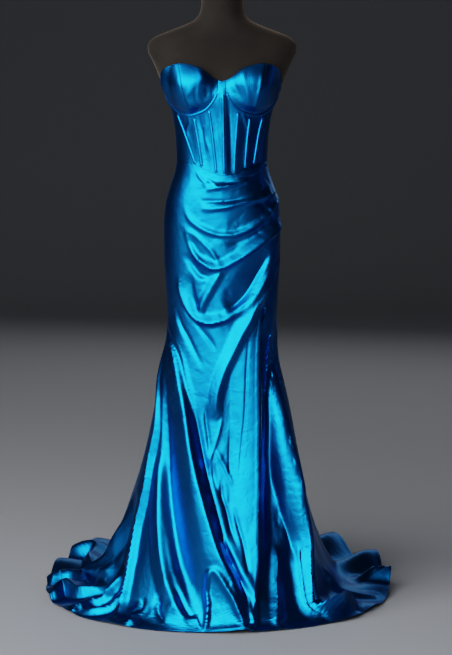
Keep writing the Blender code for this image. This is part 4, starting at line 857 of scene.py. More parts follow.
def satin(name, dark, light):
    """Duchess satin, woven with long floats of filament on its face and pressed: light runs
    along it in soft broad bands, and slubs and small creases break the bands up."""
    material, tree, surface = start_material(name, {
        "Roughness": 0.35, "Metallic": 1.0, "Sheen Weight": 0.05, "Sheen Roughness": 0.4,
        "Sheen Tint": linear("#2c58d8"), "Specular IOR Level": 0.3,
    })
    cloth = add_node(tree, "ShaderNodeUVMap", {"uv_map": "cloth"})
    # cloud of the dye, patches about 70 mm across
    tint(tree, surface, cloth.outputs["UV"], 14.0, 3.0, (0.35, dark), (0.65, light))
    # slubs of the weft: long threads thicker for 40 mm or so, drawn 1.2 mm wide to show at all
    stretch = add_node(tree, "ShaderNodeMapping", values={"Scale": (800.0, 25.0, 1.0)},
                       links={"Vector": cloth.outputs["UV"]})
    slub = add_node(tree, "ShaderNodeTexNoise", values={"Scale": 1.0, "Detail": 2.0},
                    links={"Vector": stretch.outputs["Vector"]})
    # soft crush left by folding, creases 15 to 30 mm apart
    crush = add_node(tree, "ShaderNodeTexNoise",
                     values={"Scale": 45.0, "Detail": 2.0, "Distortion": 0.6},
                     links={"Vector": cloth.outputs["UV"]})
    first = add_node(tree, "ShaderNodeBump", values={"Strength": 0.35, "Distance": 0.0025},
                     links={"Height": crush.outputs["Fac"]})
    second = add_node(tree, "ShaderNodeBump", values={"Strength": 0.30, "Distance": 0.0004},
                      links={"Height": slub.outputs["Fac"], "Normal": first.outputs["Normal"]})
    tree.links.new(second.outputs["Normal"], surface.inputs["Normal"])
    return material


def jersey():
    """Cotton jersey, circular knitted and stretched over the form: matt, dark and soft, with a
    faint rib that runs up it and a little fluff at the edges of the light."""
    material, tree, surface = start_material("charcoal_cotton_jersey", {
        "Roughness": 0.82, "Sheen Weight": 0.35, "Sheen Roughness": 0.5,
        "Sheen Tint": linear("#b8a898"), "Specular IOR Level": 0.25,
    })
    place = add_node(tree, "ShaderNodeTexCoord")
    tint(tree, surface, place.outputs["Object"], 9.0, 4.0, (0.3, "#201d1c"), (0.7, "#2b2826"))
    # wales of the knit, drawn 1.6 mm apart so that they show
    stretch = add_node(tree, "ShaderNodeMapping", values={"Scale": (620.0, 620.0, 160.0)},
                       links={"Vector": place.outputs["Object"]})
    knit = add_node(tree, "ShaderNodeTexNoise", values={"Scale": 1.0, "Detail": 1.0},
                    links={"Vector": stretch.outputs["Vector"]})
    bump = add_node(tree, "ShaderNodeBump", values={"Strength": 0.35, "Distance": 0.0005},
                    links={"Height": knit.outputs["Fac"]})
    tree.links.new(bump.outputs["Normal"], surface.inputs["Normal"])
    return material


def thread():
    """Spun polyester thread, twisted and dyed to match: a dull small cord beside the satin.
    Its flecks are under a millimetre, as the turns of its twist are."""
    material, tree, surface = start_material("twisted_polyester_thread", {
        "Roughness": 0.55, "Sheen Weight": 0.3, "Sheen Tint": linear("#3f8fe0"),
    })
    place = add_node(tree, "ShaderNodeTexCoord")
    tint(tree, surface, place.outputs["Object"], 1500.0, 1.0, (0.35, "#0a5f96"), (0.65, "#0f7fb8"))
    return material


def powder_coat():
    """Black powder coat, sprayed and baked on steel: an even fine orange peel of about a
    millimetre, half matt."""
    material, tree, surface = start_material("black_powder_coated_steel", {
        "Roughness": 0.48, "Coat Weight": 0.15, "Coat Roughness": 0.4,
    })
    place = add_node(tree, "ShaderNodeTexCoord")
    peel = tint(tree, surface, place.outputs["Object"], 900.0, 2.0,
                (0.3, "#111214"), (0.7, "#17181a"))
    bump = add_node(tree, "ShaderNodeBump", values={"Strength": 0.25, "Distance": 0.0003},
                    links={"Height": peel})
    tree.links.new(bump.outputs["Normal"], surface.inputs["Normal"])
    return material


def lacquered_zinc():
    """Zinc alloy, die cast and lacquered to match the gown: smooth, bright and blue, and paler
    in patches of 2 to 3 mm where it is handled."""
    material, tree, surface = start_material("blue_lacquered_zinc", {
        "Roughness": 0.28, "Metallic": 0.9,
    })
    place = add_node(tree, "ShaderNodeTexCoord")
    tint(tree, surface, place.outputs["Object"], 420.0, 3.0, (0.45, "#1b6fa4"), (0.75, "#6fa9c9"))
    return material


def nylon_coil():
    """Nylon monofilament, coiled and heat set: small glossy teeth of the gown's blue, whose
    tone drifts every 3 mm or so."""
    material, tree, surface = start_material("blue_nylon_coil", {"Roughness": 0.35, "IOR": 1.53})
    place = add_node(tree, "ShaderNodeTexCoord")
    tint(tree, surface, place.outputs["Object"], 300.0, 2.0, (0.3, "#0b5a90"), (0.7, "#1272ab"))
    return material


SATIN = satin("azure_duchess_satin", "#1472b0", "#167eba")
SATIN_BIAS = satin("azure_satin_cut_on_the_bias", "#167abe", "#1888c8")
JERSEY = jersey()
THREAD = thread()
COATED_STEEL = powder_coat()
ZINC = lacquered_zinc()
NYLON = nylon_coil()


# ------------------------------------------------------------------ making pieces

def choose(piece):
    """Leave only this piece selected and active."""
    if bpy.context.object and bpy.context.object.mode != "OBJECT":
        bpy.ops.object.mode_set(mode="OBJECT")
    bpy.ops.object.select_all(action="DESELECT")
    piece.select_set(True)
    bpy.context.view_layer.objects.active = piece


def add_primitive(name, operator, **settings):
    """Add a primitive with its operator, nothing else selected, and name it."""
    bpy.ops.object.select_all(action="DESELECT")
    operator(**settings)
    piece = bpy.context.object
    piece.name = piece.data.name = name
    return piece


def settle(piece):
    """Put a piece's place, turn and scale into its mesh."""
    choose(piece)
    bpy.ops.object.transform_apply(location=True, rotation=True, scale=True)


def apply_modifier(piece, name, kind, **settings):
    """Add a modifier with its settings and apply it at once."""
    choose(piece)
    step = piece.modifiers.new(name, kind)
    for setting, value in settings.items():
        setattr(step, setting, value)
    bpy.ops.object.modifier_apply(modifier=step.name)


def edit_whole(piece, operator, **settings):
    """Run an edit mode operator with the whole of a piece selected."""
    choose(piece)
    bpy.ops.object.mode_set(mode="EDIT")
    bpy.ops.mesh.select_all(action="SELECT")
    operator(**settings)
    bpy.ops.object.mode_set(mode="OBJECT")


def smooth_faces(piece, angle):
    """Shade a piece smooth but for edges sharper than an angle in degrees."""
    choose(piece)
    bpy.ops.object.shade_smooth_by_angle(angle=math.radians(angle))


def read_points(piece, attribute="co"):
    """The places of a piece's points, or their normals."""
    points = np.empty(len(piece.data.vertices) * 3)
    piece.data.vertices.foreach_get(attribute, points)
    return points.reshape(-1, 3)


def write_points(piece, points):
    piece.data.vertices.foreach_set("co", np.ascontiguousarray(points, dtype=np.float32).ravel())
    piece.data.update()


def dress(piece, material, node, body=BODY):
    """Give a finished piece its material, hide the imported node that it takes the place of and tie
    it to its body.
    """
    piece.data.materials.clear()
    piece.data.materials.append(material)
    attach(piece, body)
    if node:
        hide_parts(node)


def add_grid(name, columns, rows):
    """A flat grid to be laid on a surface; returns it and its points' shares across and up."""
    piece = add_primitive(name, bpy.ops.mesh.primitive_grid_add,
                          x_subdivisions=columns, y_subdivisions=rows, size=1.0)
    flat = read_points(piece)
    return piece, flat[:, 0] + 0.5, flat[:, 1] + 0.5


def lay_uv(piece, across, along):
    """A UV map in metres on the cloth, from two values for each point."""
    layer = piece.data.uv_layers[0]
    layer.name = "cloth"
    corners = np.empty(len(piece.data.loops), dtype=np.int32)
    piece.data.loops.foreach_get("vertex_index", corners)
    places = np.stack([across[corners], along[corners]], axis=-1)
    layer.data.foreach_set("uv", places.astype(np.float32).ravel())


def round_the_body(angle, level):
    """Distance round the body from the front centre, for patterns."""
    _, _, half_width, front, _, back = np.moveaxis(smooth_curve(SECTIONS, level), -1, 0)
    return np.radians(angle) * (half_width + 0.5 * (back - front)) * 0.5


def face_out(piece):
    """Turn a sheet over if its faces look in at the form."""
    away = read_points(piece) - np.array(BODY_MIDDLE)
    away[:, 2] = 0.0
    if (read_points(piece, "normal") * away).sum() < 0.0:
        edit_whole(piece, bpy.ops.mesh.flip_normals)


def finish_sheet(piece, lift, thickness):
    """Lift a sheet off the gown's surface, give it its thickness and smooth its faces."""
    face_out(piece)
    lifted = read_points(piece) + read_points(piece, "normal") * np.reshape(lift, (-1, 1))
    write_points(piece, lifted)
    apply_modifier(piece, "thickness", "SOLIDIFY", thickness=thickness, offset=-1.0)
    points = read_points(piece)
    points[:, 2] = np.maximum(points[:, 2], FLOOR_CLEARANCE)
    write_points(piece, points)
    smooth_faces(piece, CLOTH_SMOOTH)


def satin_sheet(name, grid, place):
    """A panel of satin. place gives angle, level and lift at shares 0 to 1 across and up it."""
    piece, across, up = add_grid(name + "_cloth", *grid)
    angle, level, lift = place(across, up)
    write_points(piece, gown_point(angle, level))
    lay_uv(piece, round_the_body(angle, level), level)
    finish_sheet(piece, lift, CLOTH_THICKNESS)
    dress(piece, SATIN, name)


def off_seams(across, first, last):
    """The turns that keep a panel's first and last edges off its seams, and none between."""
    return first * (across < SEAM_EDGE) - last * (across > 1.0 - SEAM_EDGE)


def seam_roll(across, width):
    """The dip of a panel's cloth toward the seams at both its sides."""
    edge = np.minimum(across, 1.0 - across) * width
    return -EDGE_ROLL * np.exp(-(edge / EDGE_ROLL_WIDTH) ** 2)


# ------------------------------------------------------------------ bodice

def bodice_top(angle):
    """The top edge of the panels: under the cups, up to the neck between and behind them."""
    away = np.abs(angle)
    below_cup = (away > BELOW_CUP[0]) & (away < BELOW_CUP[1])
    return np.where(below_cup, underwire(angle) - 0.5 * SEAM_GAP, neckline(angle))


def bodice_panel(name, first_seam, last_seam, grid, flat, area):
    """A panel from the waist up, between two seams given as angles at the waist and the top."""
    (first_waist, first_top), (last_waist, last_top) = first_seam, last_seam
    half_gap = degrees_for(0.5 * SEAM_GAP, np.array([first_waist, last_waist]), WAIST_HEIGHT)
    width = np.radians(last_waist - first_waist) * BODICE_RADIUS

    def place(across, up):
        share, up = crowd_ends(across), crowd_ends(up)
        top_angle = first_top + (last_top - first_top) * share
        waist_angle = first_waist + (last_waist - first_waist) * share
        angle = waist_angle + (top_angle - waist_angle) * up + off_seams(across, *half_gap)
        bottom = waist_seam(waist_angle) + 0.5 * WAIST_GAP
        level = bottom + (bodice_top(top_angle) - bottom) * up
        return angle, level, seam_roll(share, width)
    satin_sheet(name, grid, place)


def cup_panel(name, start, end, grid, flat, area):
    """A cup panel between two angles, from the underwire up to the neckline."""
    half_gap = degrees_for(0.5 * SEAM_GAP, np.array(CUP_SEAM_ANGLE), BUST_LEVEL)

    def place(across, up):
        share = crowd_ends(across)
        angle = start + (end - start) * share
        bottom = underwire(angle) + 0.5 * SEAM_GAP
        level = bottom + (neckline(angle) - bottom) * crowd_ends(up)
        angle = angle + off_seams(across, half_gap, half_gap)
        return angle, level, seam_roll(share, CUP_PANEL_WIDTH)
    satin_sheet(name, grid, place)


def make_bodice():
    for panel in BODICE_PANELS:
        bodice_panel(*panel)
    for panel in CUP_PANELS:
        cup_panel(*panel)


# ------------------------------------------------------------------ trim and stitches

def beside_line(line_at, up, offset):
    """Angles and levels at a distance to the side of a line on the gown."""
    angle, level = line_at(up)
    ahead_angle, ahead_level = line_at(np.clip(up + TRIM_STEP, 0.0, 1.0))
    behind_angle, behind_level = line_at(np.clip(up - TRIM_STEP, 0.0, 1.0))
    turn, rise = 0.2, 0.001
    east = (gown_point(angle + turn, level) - gown_point(angle - turn, level)) / (2.0 * turn)
    north = (gown_point(angle, level + rise) - gown_point(angle, level - rise)) / (2.0 * rise)
    east_size, north_size = np.linalg.norm(east, axis=-1), np.linalg.norm(north, axis=-1)
    run_east = (ahead_angle - behind_angle) * east_size
    run_north = (ahead_level - behind_level) * north_size
    length = np.hypot(run_east, run_north)
    return (angle + offset * run_north / length / east_size,
            level - offset * run_east / length / north_size)


def sewn_strip(name, line_at, width, crown, rows):
    """A narrow strip sewn on along a line, with a rounded back and flat sewn edges."""
    piece, across, up = add_grid(name + "_cloth", TRIM_COLUMNS, rows)
    offset = (crowd_ends(across, TRIM_CROWD) - 0.5) * width
    write_points(piece, gown_point(*beside_line(line_at, up, offset)))
    first_end, last_end = gown_point(*line_at(np.array([0.0, 1.0])))
    lay_uv(piece, offset, up * np.linalg.norm(first_end - last_end))
    inner = np.clip((0.5 * width - np.abs(offset) - TRIM_FLANGE) / (0.5 * width - TRIM_FLANGE),
                    0.0, 1.0)
    taper = smooth_step(np.minimum(up, 1.0 - up) * rows, *TRIM_TAPER)
    round_back = np.sqrt(inner * (2.0 - inner))
    lift = TRIM_LIFT + TRIM_CLOTH + (crown - TRIM_CLOTH) * round_back * taper
    finish_sheet(piece, lift, TRIM_CLOTH)
    dress(piece, SATIN_BIAS, name)


def make_stitches(name, lines, lift):
    """Stitches along lines that give angle and level: one is modelled and the rest are copies."""
    pattern = add_primitive("one_stitch", bpy.ops.mesh.primitive_uv_sphere_add,
                            segments=6, ring_count=4, radius=0.5)
    stitch = read_points(pattern) * np.array(STITCH_SIZE)
    stitch_faces = [tuple(face.vertices) for face in pattern.data.polygons]
    bpy.data.objects.remove(pattern)
    copies = []
    for line_at in lines:
        angle, level = line_at(np.linspace(0.0, 1.0, STITCH_STEPS))
        normal = surface_normal(gown_point, angle, level)
        path = gown_point(angle, level) + normal * lift
        steps = np.linalg.norm(np.diff(path, axis=0), axis=1)
        gone = np.concatenate([[0.0], np.cumsum(steps)])
        marks = np.arange(0.5 * STITCH_SPACING, gone[-1], STITCH_SPACING)
        spot, out = (np.stack([np.interp(marks, gone, column) for column in values.T], axis=1)
                     for values in (path, normal))
        out = unit(out)
        ahead = unit(np.gradient(spot, axis=0))
        side = unit(np.cross(out, ahead))
        copies += [middle + stitch @ np.stack(axes)
                   for middle, *axes in zip(spot, ahead, side, out)]
    faces = [tuple(index * len(stitch) + corner for corner in face)
             for index in range(len(copies)) for face in stitch_faces]
    mesh = bpy.data.meshes.new(name)
    mesh.from_pydata(np.concatenate(copies).tolist(), [], faces)
    mesh.validate()
    piece = bpy.data.objects.new(name, mesh)
    bpy.context.scene.collection.objects.link(piece)
    edit_whole(piece, bpy.ops.mesh.normals_make_consistent, inside=False)
    bpy.ops.object.shade_smooth()
    dress(piece, THREAD, None)


def casing_line(up, sign, drop=0.0):
    """Along an underwire; sign is -1 on the wearer's right and 1 on the left."""
    angle = smooth_curve(CASING_PLACES, up)[..., 0]
    return sign * angle, underwire(angle) + drop


def channel_line(up, waist_angle, top_angle, top_level, turn=0.0):
    """Up a bone channel of the front, or along its stitching a small turn to the side."""
    angle = waist_angle + (top_angle - waist_angle) * up
    bottom = waist_seam(angle) + BONE_CHANNEL_FOOT
    return angle + turn, bottom + (top_level - BONE_CHANNEL_HEAD - bottom) * up


def back_channel_line(up, place, turn=0.0):
    """The same up a bone channel of the back, at one angle."""
    angle = np.full_like(up, place)
    bottom = waist_seam(angle) + BONE_CHANNEL_FOOT
    return angle + turn, bottom + (neckline(angle) - BACK_CHANNEL_HEAD - bottom) * up


def neck_line(up):
    """Round the neck edge, from one side of the zip to the other."""
    angle = -NECK_STITCH_ANGLE + 2.0 * NECK_STITCH_ANGLE * up
    return angle, neckline(angle) - NECK_STITCH_DROP


def slit_line(up):
    """Up the hem of the drape's free edge."""
    top = SLIT_TOP_LEVEL - SLIT_STITCH_HEAD
    level = SLIT_STITCH_FOOT + (top - SLIT_STITCH_FOOT) * up
    edge = slit_edge(level)
    return edge - degrees_for(HEM_WIDTH - HEM_STITCH_INSET, edge, level), level


def make_trim():
    """The casings and channels of the bodice, and two rows of stitches along each."""
    stitch_lines = []
    for side, sign in (("right", -1.0), ("left", 1.0)):
        line = partial(casing_line, sign=sign)
        sewn_strip("wire_casing_" + side, line, WIRE_CASING_WIDTH, WIRE_CASING_CROWN,
                   WIRE_CASING_ROWS)
        stitch_lines += [partial(line, drop=drop)
                         for drop in (-CASING_STITCH_DROP, CASING_STITCH_DROP)]
    channels = []
    for number, (waist_angle, top_angle, top_level) in enumerate(BONE_CHANNELS, start=1):
        line = partial(channel_line, waist_angle=waist_angle, top_angle=top_angle,
                       top_level=top_level)
        length = top_level - float(waist_seam(waist_angle)) + CHANNEL_ALLOWANCE
        channels.append((str(number), line, round(length, 3),
                         round(CHANNEL_CUT_WIDTH * length, 5), "bodice_center_front"))
    for side, place in BACK_BONE_CHANNELS:
        channels.append(("back_" + side, partial(back_channel_line, place=place),
                         BACK_CHANNEL_LENGTH, BACK_CHANNEL_AREA, "bodice_back_" + side))
    for suffix, line, length, area, rests_on in channels:
        sewn_strip("bone_channel_" + suffix, line, BONE_CHANNEL_WIDTH, BONE_CHANNEL_CROWN,
                   BONE_CHANNEL_ROWS)
        stitch_lines += [partial(line, turn=turn)
                         for turn in (-CHANNEL_STITCH_TURN, CHANNEL_STITCH_TURN)]
    make_stitches("bodice_stitches", stitch_lines + [neck_line], STITCH_LIFT)


# ------------------------------------------------------------------ skirt

def skirt_level(angle, up):
    """Levels from the hem to the waist seam."""
    level = smooth_curve(SKIRT_ROWS, up)[..., 0]
    top = waist_seam(angle) - 0.5 * WAIST_GAP
    return level + (top - SKIRT_ROWS[-1][1]) * smooth_step(up, *TOP_ROWS)


def hem_raise(distance):
    """The doubled cloth of a narrow hem, and the dent of its stitching."""
    doubled = HEM_RAISE * smooth_step(HEM_WIDTH - distance, 0.0, HEM_EDGE)
    from_dent = (distance - HEM_WIDTH + HEM_DENT_INSET) / HEM_DENT_WIDTH
    return doubled - HEM_DENT * np.exp(-from_dent ** 2)


def foot_hem(level):
    """The hem along the foot of the skirt."""
    return hem_raise((level - HEM_LEVEL) * FLOOR_SLANT)


def skirt_drape():
    """The draped front, in one piece from the right side seam to the free edge of the slit."""
    def place(across, up):
        share = crowd_ends(across, DRAPE_CROWD)
        level = skirt_level(np.zeros_like(up), up)
        for _ in range(EDGE_PASSES):
            start = -SIDE_SEAM + degrees_for(0.5 * SIDE_GAP, -SIDE_SEAM, level)
            end = slit_edge(level)
            end = end - degrees_for(0.5 * HIP_SEAM_GAP, end, level)
            angle = start + (end - start) * share
            level = skirt_level(angle, up)
        from_edge = (end - angle) / degrees_for(1.0, angle, level)
        edge_hem = hem_raise(from_edge) * (level < SLIT_TOP_LEVEL)
        return angle, level, np.maximum(edge_hem, foot_hem(level))
    satin_sheet("skirt_drape", (150, 318), place)


def skirt_front_left():
    """The panel beyond the slit. Its front edge runs under the drape, a little closer in."""
    def place(across, up):
        level = skirt_level(np.full_like(up, FRONT_LEFT_ANGLE), up)
        for _ in range(EDGE_PASSES):
            edge = slit_edge(level)
            under = UNDERLAP - UNDERLAP_TAPER * below(level, *UNDERLAP_TAPER_LEVELS)
            under = under * smooth_step(UNDERLAP_END - level, 0.0, UNDERLAP_END_FADE)
            start = edge - degrees_for(under - 0.5 * HIP_SEAM_GAP, edge, level)
            end = SIDE_SEAM - degrees_for(0.5 * SIDE_GAP, SIDE_SEAM, level)
            angle = start + (end - start) * across
            level = skirt_level(angle, up)
        past_edge = (angle - slit_edge(level)) / degrees_for(1.0, angle, level)
        drop = UNDERLAP_DROP * (1.0 - smooth_step(past_edge, SLIT_EDGE_EASE, UNDERLAP_RISE))
        hollow = SLIT_HOLLOW * smooth_step(past_edge, -SLIT_EDGE_EASE, SLIT_HOLLOW_START)
        hollow = hollow * (1.0 - smooth_step(past_edge, *SLIT_HOLLOW_END))
        hollow = hollow * smooth_step(SLIT_TOP_LEVEL - level, *SLIT_HOLLOW_TOP)
        hollow = hollow * smooth_step(level, 0.0, SLIT_HOLLOW_FOOT)
        lift = -(drop + hollow) * smooth_step(UNDERLAP_END - level, *UNDERLAP_DROP_START)
        return angle, level, lift
    satin_sheet("skirt_front_left", (90, 300), place)


def skirt_back(side, start, end):
    """One half of the back with its part of the train."""
    def place(across, up):
        level = skirt_level(np.zeros_like(up), up)
        first = start + degrees_for(0.5 * SIDE_GAP, start, level)
        last = end - degrees_for(0.5 * SIDE_GAP, end, level)
        angle = first + (last - first) * across
        level = skirt_level(angle, up)
        return angle, level, foot_hem(level)
    satin_sheet("skirt_back_" + side, (110, 260), place)


def waist_flap():
    """The folded pleat along the waist seam, pointed at both ends."""
    def place(across, up):
        angle = FLAP_START + (FLAP_END - FLAP_START) * across
        top = waist_seam(angle) - FLAP_BELOW_SEAM
        bottom = smooth_curve(FLAP_LOWER_EDGE, angle)[..., 0]
        level = bottom + (top - bottom) * up
        roll = FLAP_ROLL * np.sin(np.pi * np.clip(up, 0.0, 1.0)) ** 0.5
        return angle, level, FLAP_RISE - FLAP_ROLL + roll
    satin_sheet("waist_flap", (70, 16), place)


def make_skirt():
    skirt_drape()
    skirt_front_left()
    skirt_back("right", -180.0, -SIDE_SEAM)
    skirt_back("left", SIDE_SEAM, 180.0)
    waist_flap()
    make_stitches("slit_stitches", [slit_line], HEM_STITCH_LIFT)


# ------------------------------------------------------------------ form and stand

def form_inset(level):
    """How far the form's cover lies inside the gown's outer face: more where the skirt hides
    it, and nothing above the neckline."""
    under_bodice = CLOTH_INSET + FORM_CLEARANCE
    under_skirt = under_bodice + HIDDEN_CLEARANCE
    inset = under_skirt + (under_bodice - under_skirt) * smooth_step(level, *HIDDEN_LEVELS)
    return inset * (1.0 - smooth_step(level, *BARE_LEVELS))


def dress_form():
    """The torso: a ball whose rings are laid on the body's sections, flat at its foot and neck."""
    piece = add_primitive("dress_form_cover", bpy.ops.mesh.primitive_uv_sphere_add,
                          segments=FORM_SEGMENTS, ring_count=FORM_RINGS, radius=1.0)
    ball = read_points(piece)
    ring = np.arccos(np.clip(-ball[:, 2], -1.0, 1.0)) / math.pi * FORM_RINGS
    angle = np.degrees(np.arctan2(ball[:, 0], -ball[:, 1]))
    share = np.clip((ring - 1.0) / (FORM_RINGS - 2.0), 0.0, 1.0)
    level = FORM_BOTTOM + (NECK_TOP - FORM_BOTTOM) * share
    shoulder = smooth_curve(SHOULDER_SECTIONS, np.maximum(level, SHOULDER_START))
    half_width, front, widest, back = np.moveaxis(shoulder, -1, 0)
    turn = np.radians(angle)
    depth = np.where(np.cos(turn) > 0.0, widest - front, back - widest)
    top = np.stack([half_width * np.sin(turn), widest - depth * np.cos(turn), level], axis=-1)
    torso = body_point(angle, np.minimum(level, SHOULDER_START), FORM_FULLNESS)
    normal = surface_normal(body_point, angle, np.minimum(level, SHOULDER_START - SHOULDER_EASE))
    normal[level <= FORM_BOTTOM + 1e-6, 2] = 0.0
    place = np.where((level < SHOULDER_START)[:, None], torso, top)
    place = place - normal * form_inset(level)[:, None]
    pole = (ring < 0.5) | (ring > FORM_RINGS - 0.5)
    place[pole, 0], place[pole, 1], place[pole, 2] = 0.0, FORM_MIDDLE_Y, level[pole]
    write_points(piece, place)
    edit_whole(piece, bpy.ops.mesh.normals_make_consistent, inside=False)
    smooth_faces(piece, CLOTH_SMOOTH)
    dress(piece, JERSEY, "dress_form")


def steel_bar(name, radius, bottom, top, sides, bevel, node):
    """A round upright of coated steel with softened rims."""
    piece = add_primitive(name, bpy.ops.mesh.primitive_cylinder_add, vertices=sides,
                          radius=radius, depth=top - bottom,
                          location=(0.0, 0.0, 0.5 * (top + bottom)))
    settle(piece)
    apply_modifier(piece, "rounded rims", "BEVEL", width=bevel, segments=3, limit_method="ANGLE")
    smooth_faces(piece, METAL_SMOOTH)
    dress(piece, COATED_STEEL, node)


def make_stand():
    dress_form()
    steel_bar("steel_pole", POLE_RADIUS, BASE_THICKNESS + FACE_GAP, FORM_BOTTOM - FACE_GAP, 64,
              POLE_BEVEL, "stand_pole")
    steel_bar("steel_base_plate", BASE_RADIUS, 0.0, BASE_THICKNESS, 128, BASE_BEVEL, "stand_base")


# ------------------------------------------------------------------ zip

def block(name, size, middle, bevel):
    """A box with softened edges."""
    piece = add_primitive(name, bpy.ops.mesh.primitive_cube_add, size=1.0, location=middle)
    piece.scale = size
    settle(piece)
    apply_modifier(piece, "softened edges", "BEVEL", width=bevel, segments=2)
    return piece


def cross_bar(name, radius, length, middle):
    """A round bar that lies along X."""
    piece = add_primitive(name, bpy.ops.mesh.primitive_cylinder_add, vertices=32, radius=radius,
                          depth=length, location=middle, rotation=(0.0, 0.5 * math.pi, 0.0))
    settle(piece)
    return piece


def combine(piece, other, operation):
    """Add another piece to this one, or cut it away, and drop the other."""
    apply_modifier(piece, "combine", "BOOLEAN", object=other, operation=operation, solver="EXACT")
    bpy.data.objects.remove(other)


def repeat(piece, name, count, step):
    """Copy a piece along a step, the copies in its own mesh."""
    apply_modifier(piece, name, "ARRAY", count=count, use_relative_offset=False,
                   use_constant_offset=True, constant_offset_displace=step)


def make_coil():
    """Two rows of teeth down the back: one tooth, copied at the coil's pitch."""
    reach = 0.5 * ZIP_WIDTH
    tooth = block("zip_teeth", (reach + TOOTH_OVERLAP, COIL_THICKNESS, TOOTH_HEIGHT),
                  (0.5 * (reach - TOOTH_OVERLAP), ZIP_LIFT + 0.5 * COIL_THICKNESS,
                   ZIP_BOTTOM + 0.25 * TOOTH_PITCH), SMALL_BEVEL)
    repeat(tooth, "two rows", 2, (TOOTH_OVERLAP - reach, 0.0, 0.5 * TOOTH_PITCH))
    repeat(tooth, "all the teeth", int((ZIP_TOP - ZIP_BOTTOM) / TOOTH_PITCH),
           (0.0, 0.0, TOOTH_PITCH))
    points = read_points(tooth)
    points[:, 1] += gown_point(np.full(len(points), 180.0), points[:, 2])[:, 1]
    write_points(tooth, points)
    dress(tooth, NYLON, "zip_coil")


def make_slider(inner, outer, pin_y):
    """The slider's body with the two posts that hold the pin."""
    post_x = 0.5 * KNUCKLE_WIDTH + FACE_GAP + 0.5 * POST_WIDTH
    post_start = outer - 0.5 * SLIDER_SIZE[1]
    post_end = pin_y + POST_PAST_PIN
    slider = block("zip_slider_body", SLIDER_SIZE, (0.0, 0.5 * (inner + outer), SLIDER_MIDDLE),
                   2.0 * SMALL_BEVEL)
    for side in (-1.0, 1.0):
        post = block("zip_slider_post", (POST_WIDTH, post_end - post_start, POST_HEIGHT),
                     (side * post_x, 0.5 * (post_start + post_end), SLIDER_MIDDLE), SMALL_BEVEL)
        combine(slider, post, "UNION")
    pin = cross_bar("zip_pin", HINGE_PIN_RADIUS, 2.0 * post_x, (0.0, pin_y, SLIDER_MIDDLE))
    combine(slider, pin, "UNION")
    dress(slider, ZINC, "zip_slider")
    smooth_faces(slider, METAL_SMOOTH)


def make_pull_tab(pin_y):
    """The pull tab, whose knuckle turns on the slider's pin."""
    neck_end = SLIDER_MIDDLE - TAB_NECK_END
    neck_top = SLIDER_MIDDLE - TAB_NECK_START
    neck_bottom = neck_end - TAB_NECK_OVERLAP
    at_pin = (0.0, pin_y, SLIDER_MIDDLE)
    tab = block("zip_pull_plate", (TAB_WIDTH, TAB_THICKNESS, TAB_LENGTH),
                (0.0, pin_y, neck_end - 0.5 * TAB_LENGTH), 2.0 * SMALL_BEVEL)
    neck = block("zip_pull_neck", (KNUCKLE_WIDTH, TAB_THICKNESS, neck_top - neck_bottom),
                 (0.0, pin_y, 0.5 * (neck_top + neck_bottom)), 0.5 * SMALL_BEVEL)
    combine(tab, neck, "UNION")
    combine(tab, cross_bar("zip_knuckle", KNUCKLE_RADIUS, KNUCKLE_WIDTH, at_pin), "UNION")
    bore = cross_bar("zip_knuckle_bore", KNUCKLE_BORE, 2.0 * KNUCKLE_WIDTH, at_pin)
    combine(tab, bore, "DIFFERENCE")
    dress(tab, ZINC, "zip_pull_tab", PULL_BODY)
    smooth_faces(tab, METAL_SMOOTH)


def make_zip():
    """The zip of the centre back, closed, with the pull tab hanging from its slider."""
    make_coil()
    levels = SLIDER_MIDDLE + np.array([-0.5, 0.0, 0.5]) * SLIDER_SIZE[2]
    back = gown_point(np.full(3, 180.0), levels)[:, 1].max()
    inner = back + ZIP_LIFT + COIL_THICKNESS + FACE_GAP
    outer = inner + SLIDER_SIZE[1]
    make_slider(inner, outer, outer + HINGE_RISE)
    make_pull_tab(outer + HINGE_RISE)


# ------------------------------------------------------------------ camera, light and room

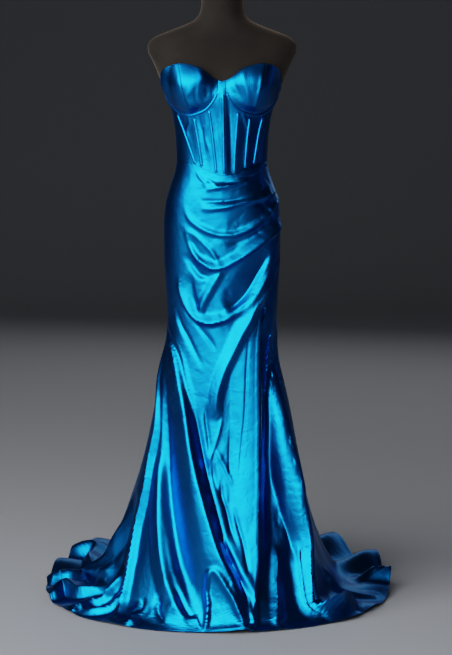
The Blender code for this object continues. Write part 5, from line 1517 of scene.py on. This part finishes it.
def make_camera():
    scene = bpy.context.scene
    camera = bpy.data.objects.new("camera", bpy.data.cameras.new("camera"))
    scene.collection.objects.link(camera)
    camera.location = CAMERA_PLACE
    camera.rotation_euler = (math.radians(90.0 - CAMERA_DIP), 0.0, 0.0)
    camera.data.sensor_fit = "VERTICAL"
    camera.data.sensor_height = CAMERA_SENSOR
    camera.data.lens = CAMERA_LENS
    scene.camera = camera
    scene.view_settings.view_transform = "Filmic"
    scene.view_settings.look = "High Contrast"


def add_area_light(name, place, target, size, power, color):
    """A soft rectangular light that points at a target."""
    light = bpy.data.lights.new(name, "AREA")
    light.shape = "RECTANGLE"
    light.size, light.size_y = size
    light.energy = power
    light.color = linear(color)[:3]
    lamp = bpy.data.objects.new(name, light)
    bpy.context.scene.collection.objects.link(lamp)
    lamp.location = place
    lamp.rotation_euler = (Vector(target) - Vector(place)).to_track_quat("-Z", "Y").to_euler()


def make_lights():
    for light in LIGHTS:
        add_area_light(*light)
    world = bpy.data.worlds.new("room")
    bpy.context.scene.world = world
    world.use_nodes = True
    background = world.node_tree.nodes["Background"]
    background.inputs["Color"].default_value = linear(ROOM_COLOR)
    background.inputs["Strength"].default_value = ROOM_STRENGTH


def make_floor():
    """A floor cloth, flat under the gown, that turns up through a quarter round behind it."""
    floor, across, along = add_grid("floor_cloth", 2, SWEEP_ROWS)
    run = SWEEP_START + (SWEEP_END - SWEEP_START) * along
    turn = np.clip((run - SWEEP_BEND) / SWEEP_RADIUS, 0.0, 0.5 * math.pi)
    past = np.maximum(run - SWEEP_BEND - 0.5 * math.pi * SWEEP_RADIUS, 0.0)
    write_points(floor, np.stack([
        SWEEP_WIDTH * (across - 0.5),
        np.minimum(run, SWEEP_BEND) + SWEEP_RADIUS * np.sin(turn),
        SWEEP_RADIUS * (1.0 - np.cos(turn)) + past,
    ], axis=-1))
    choose(floor)
    bpy.ops.object.shade_smooth()
    material, _, _ = start_material("pale_matt_floor", {
        "Base Color": linear("#a6a8ac"), "Roughness": 0.9,
    })
    floor.data.materials.append(material)


make_bodice()
make_trim()
make_skirt()
make_zip()
make_stand()
make_camera()
make_lights()
make_floor()
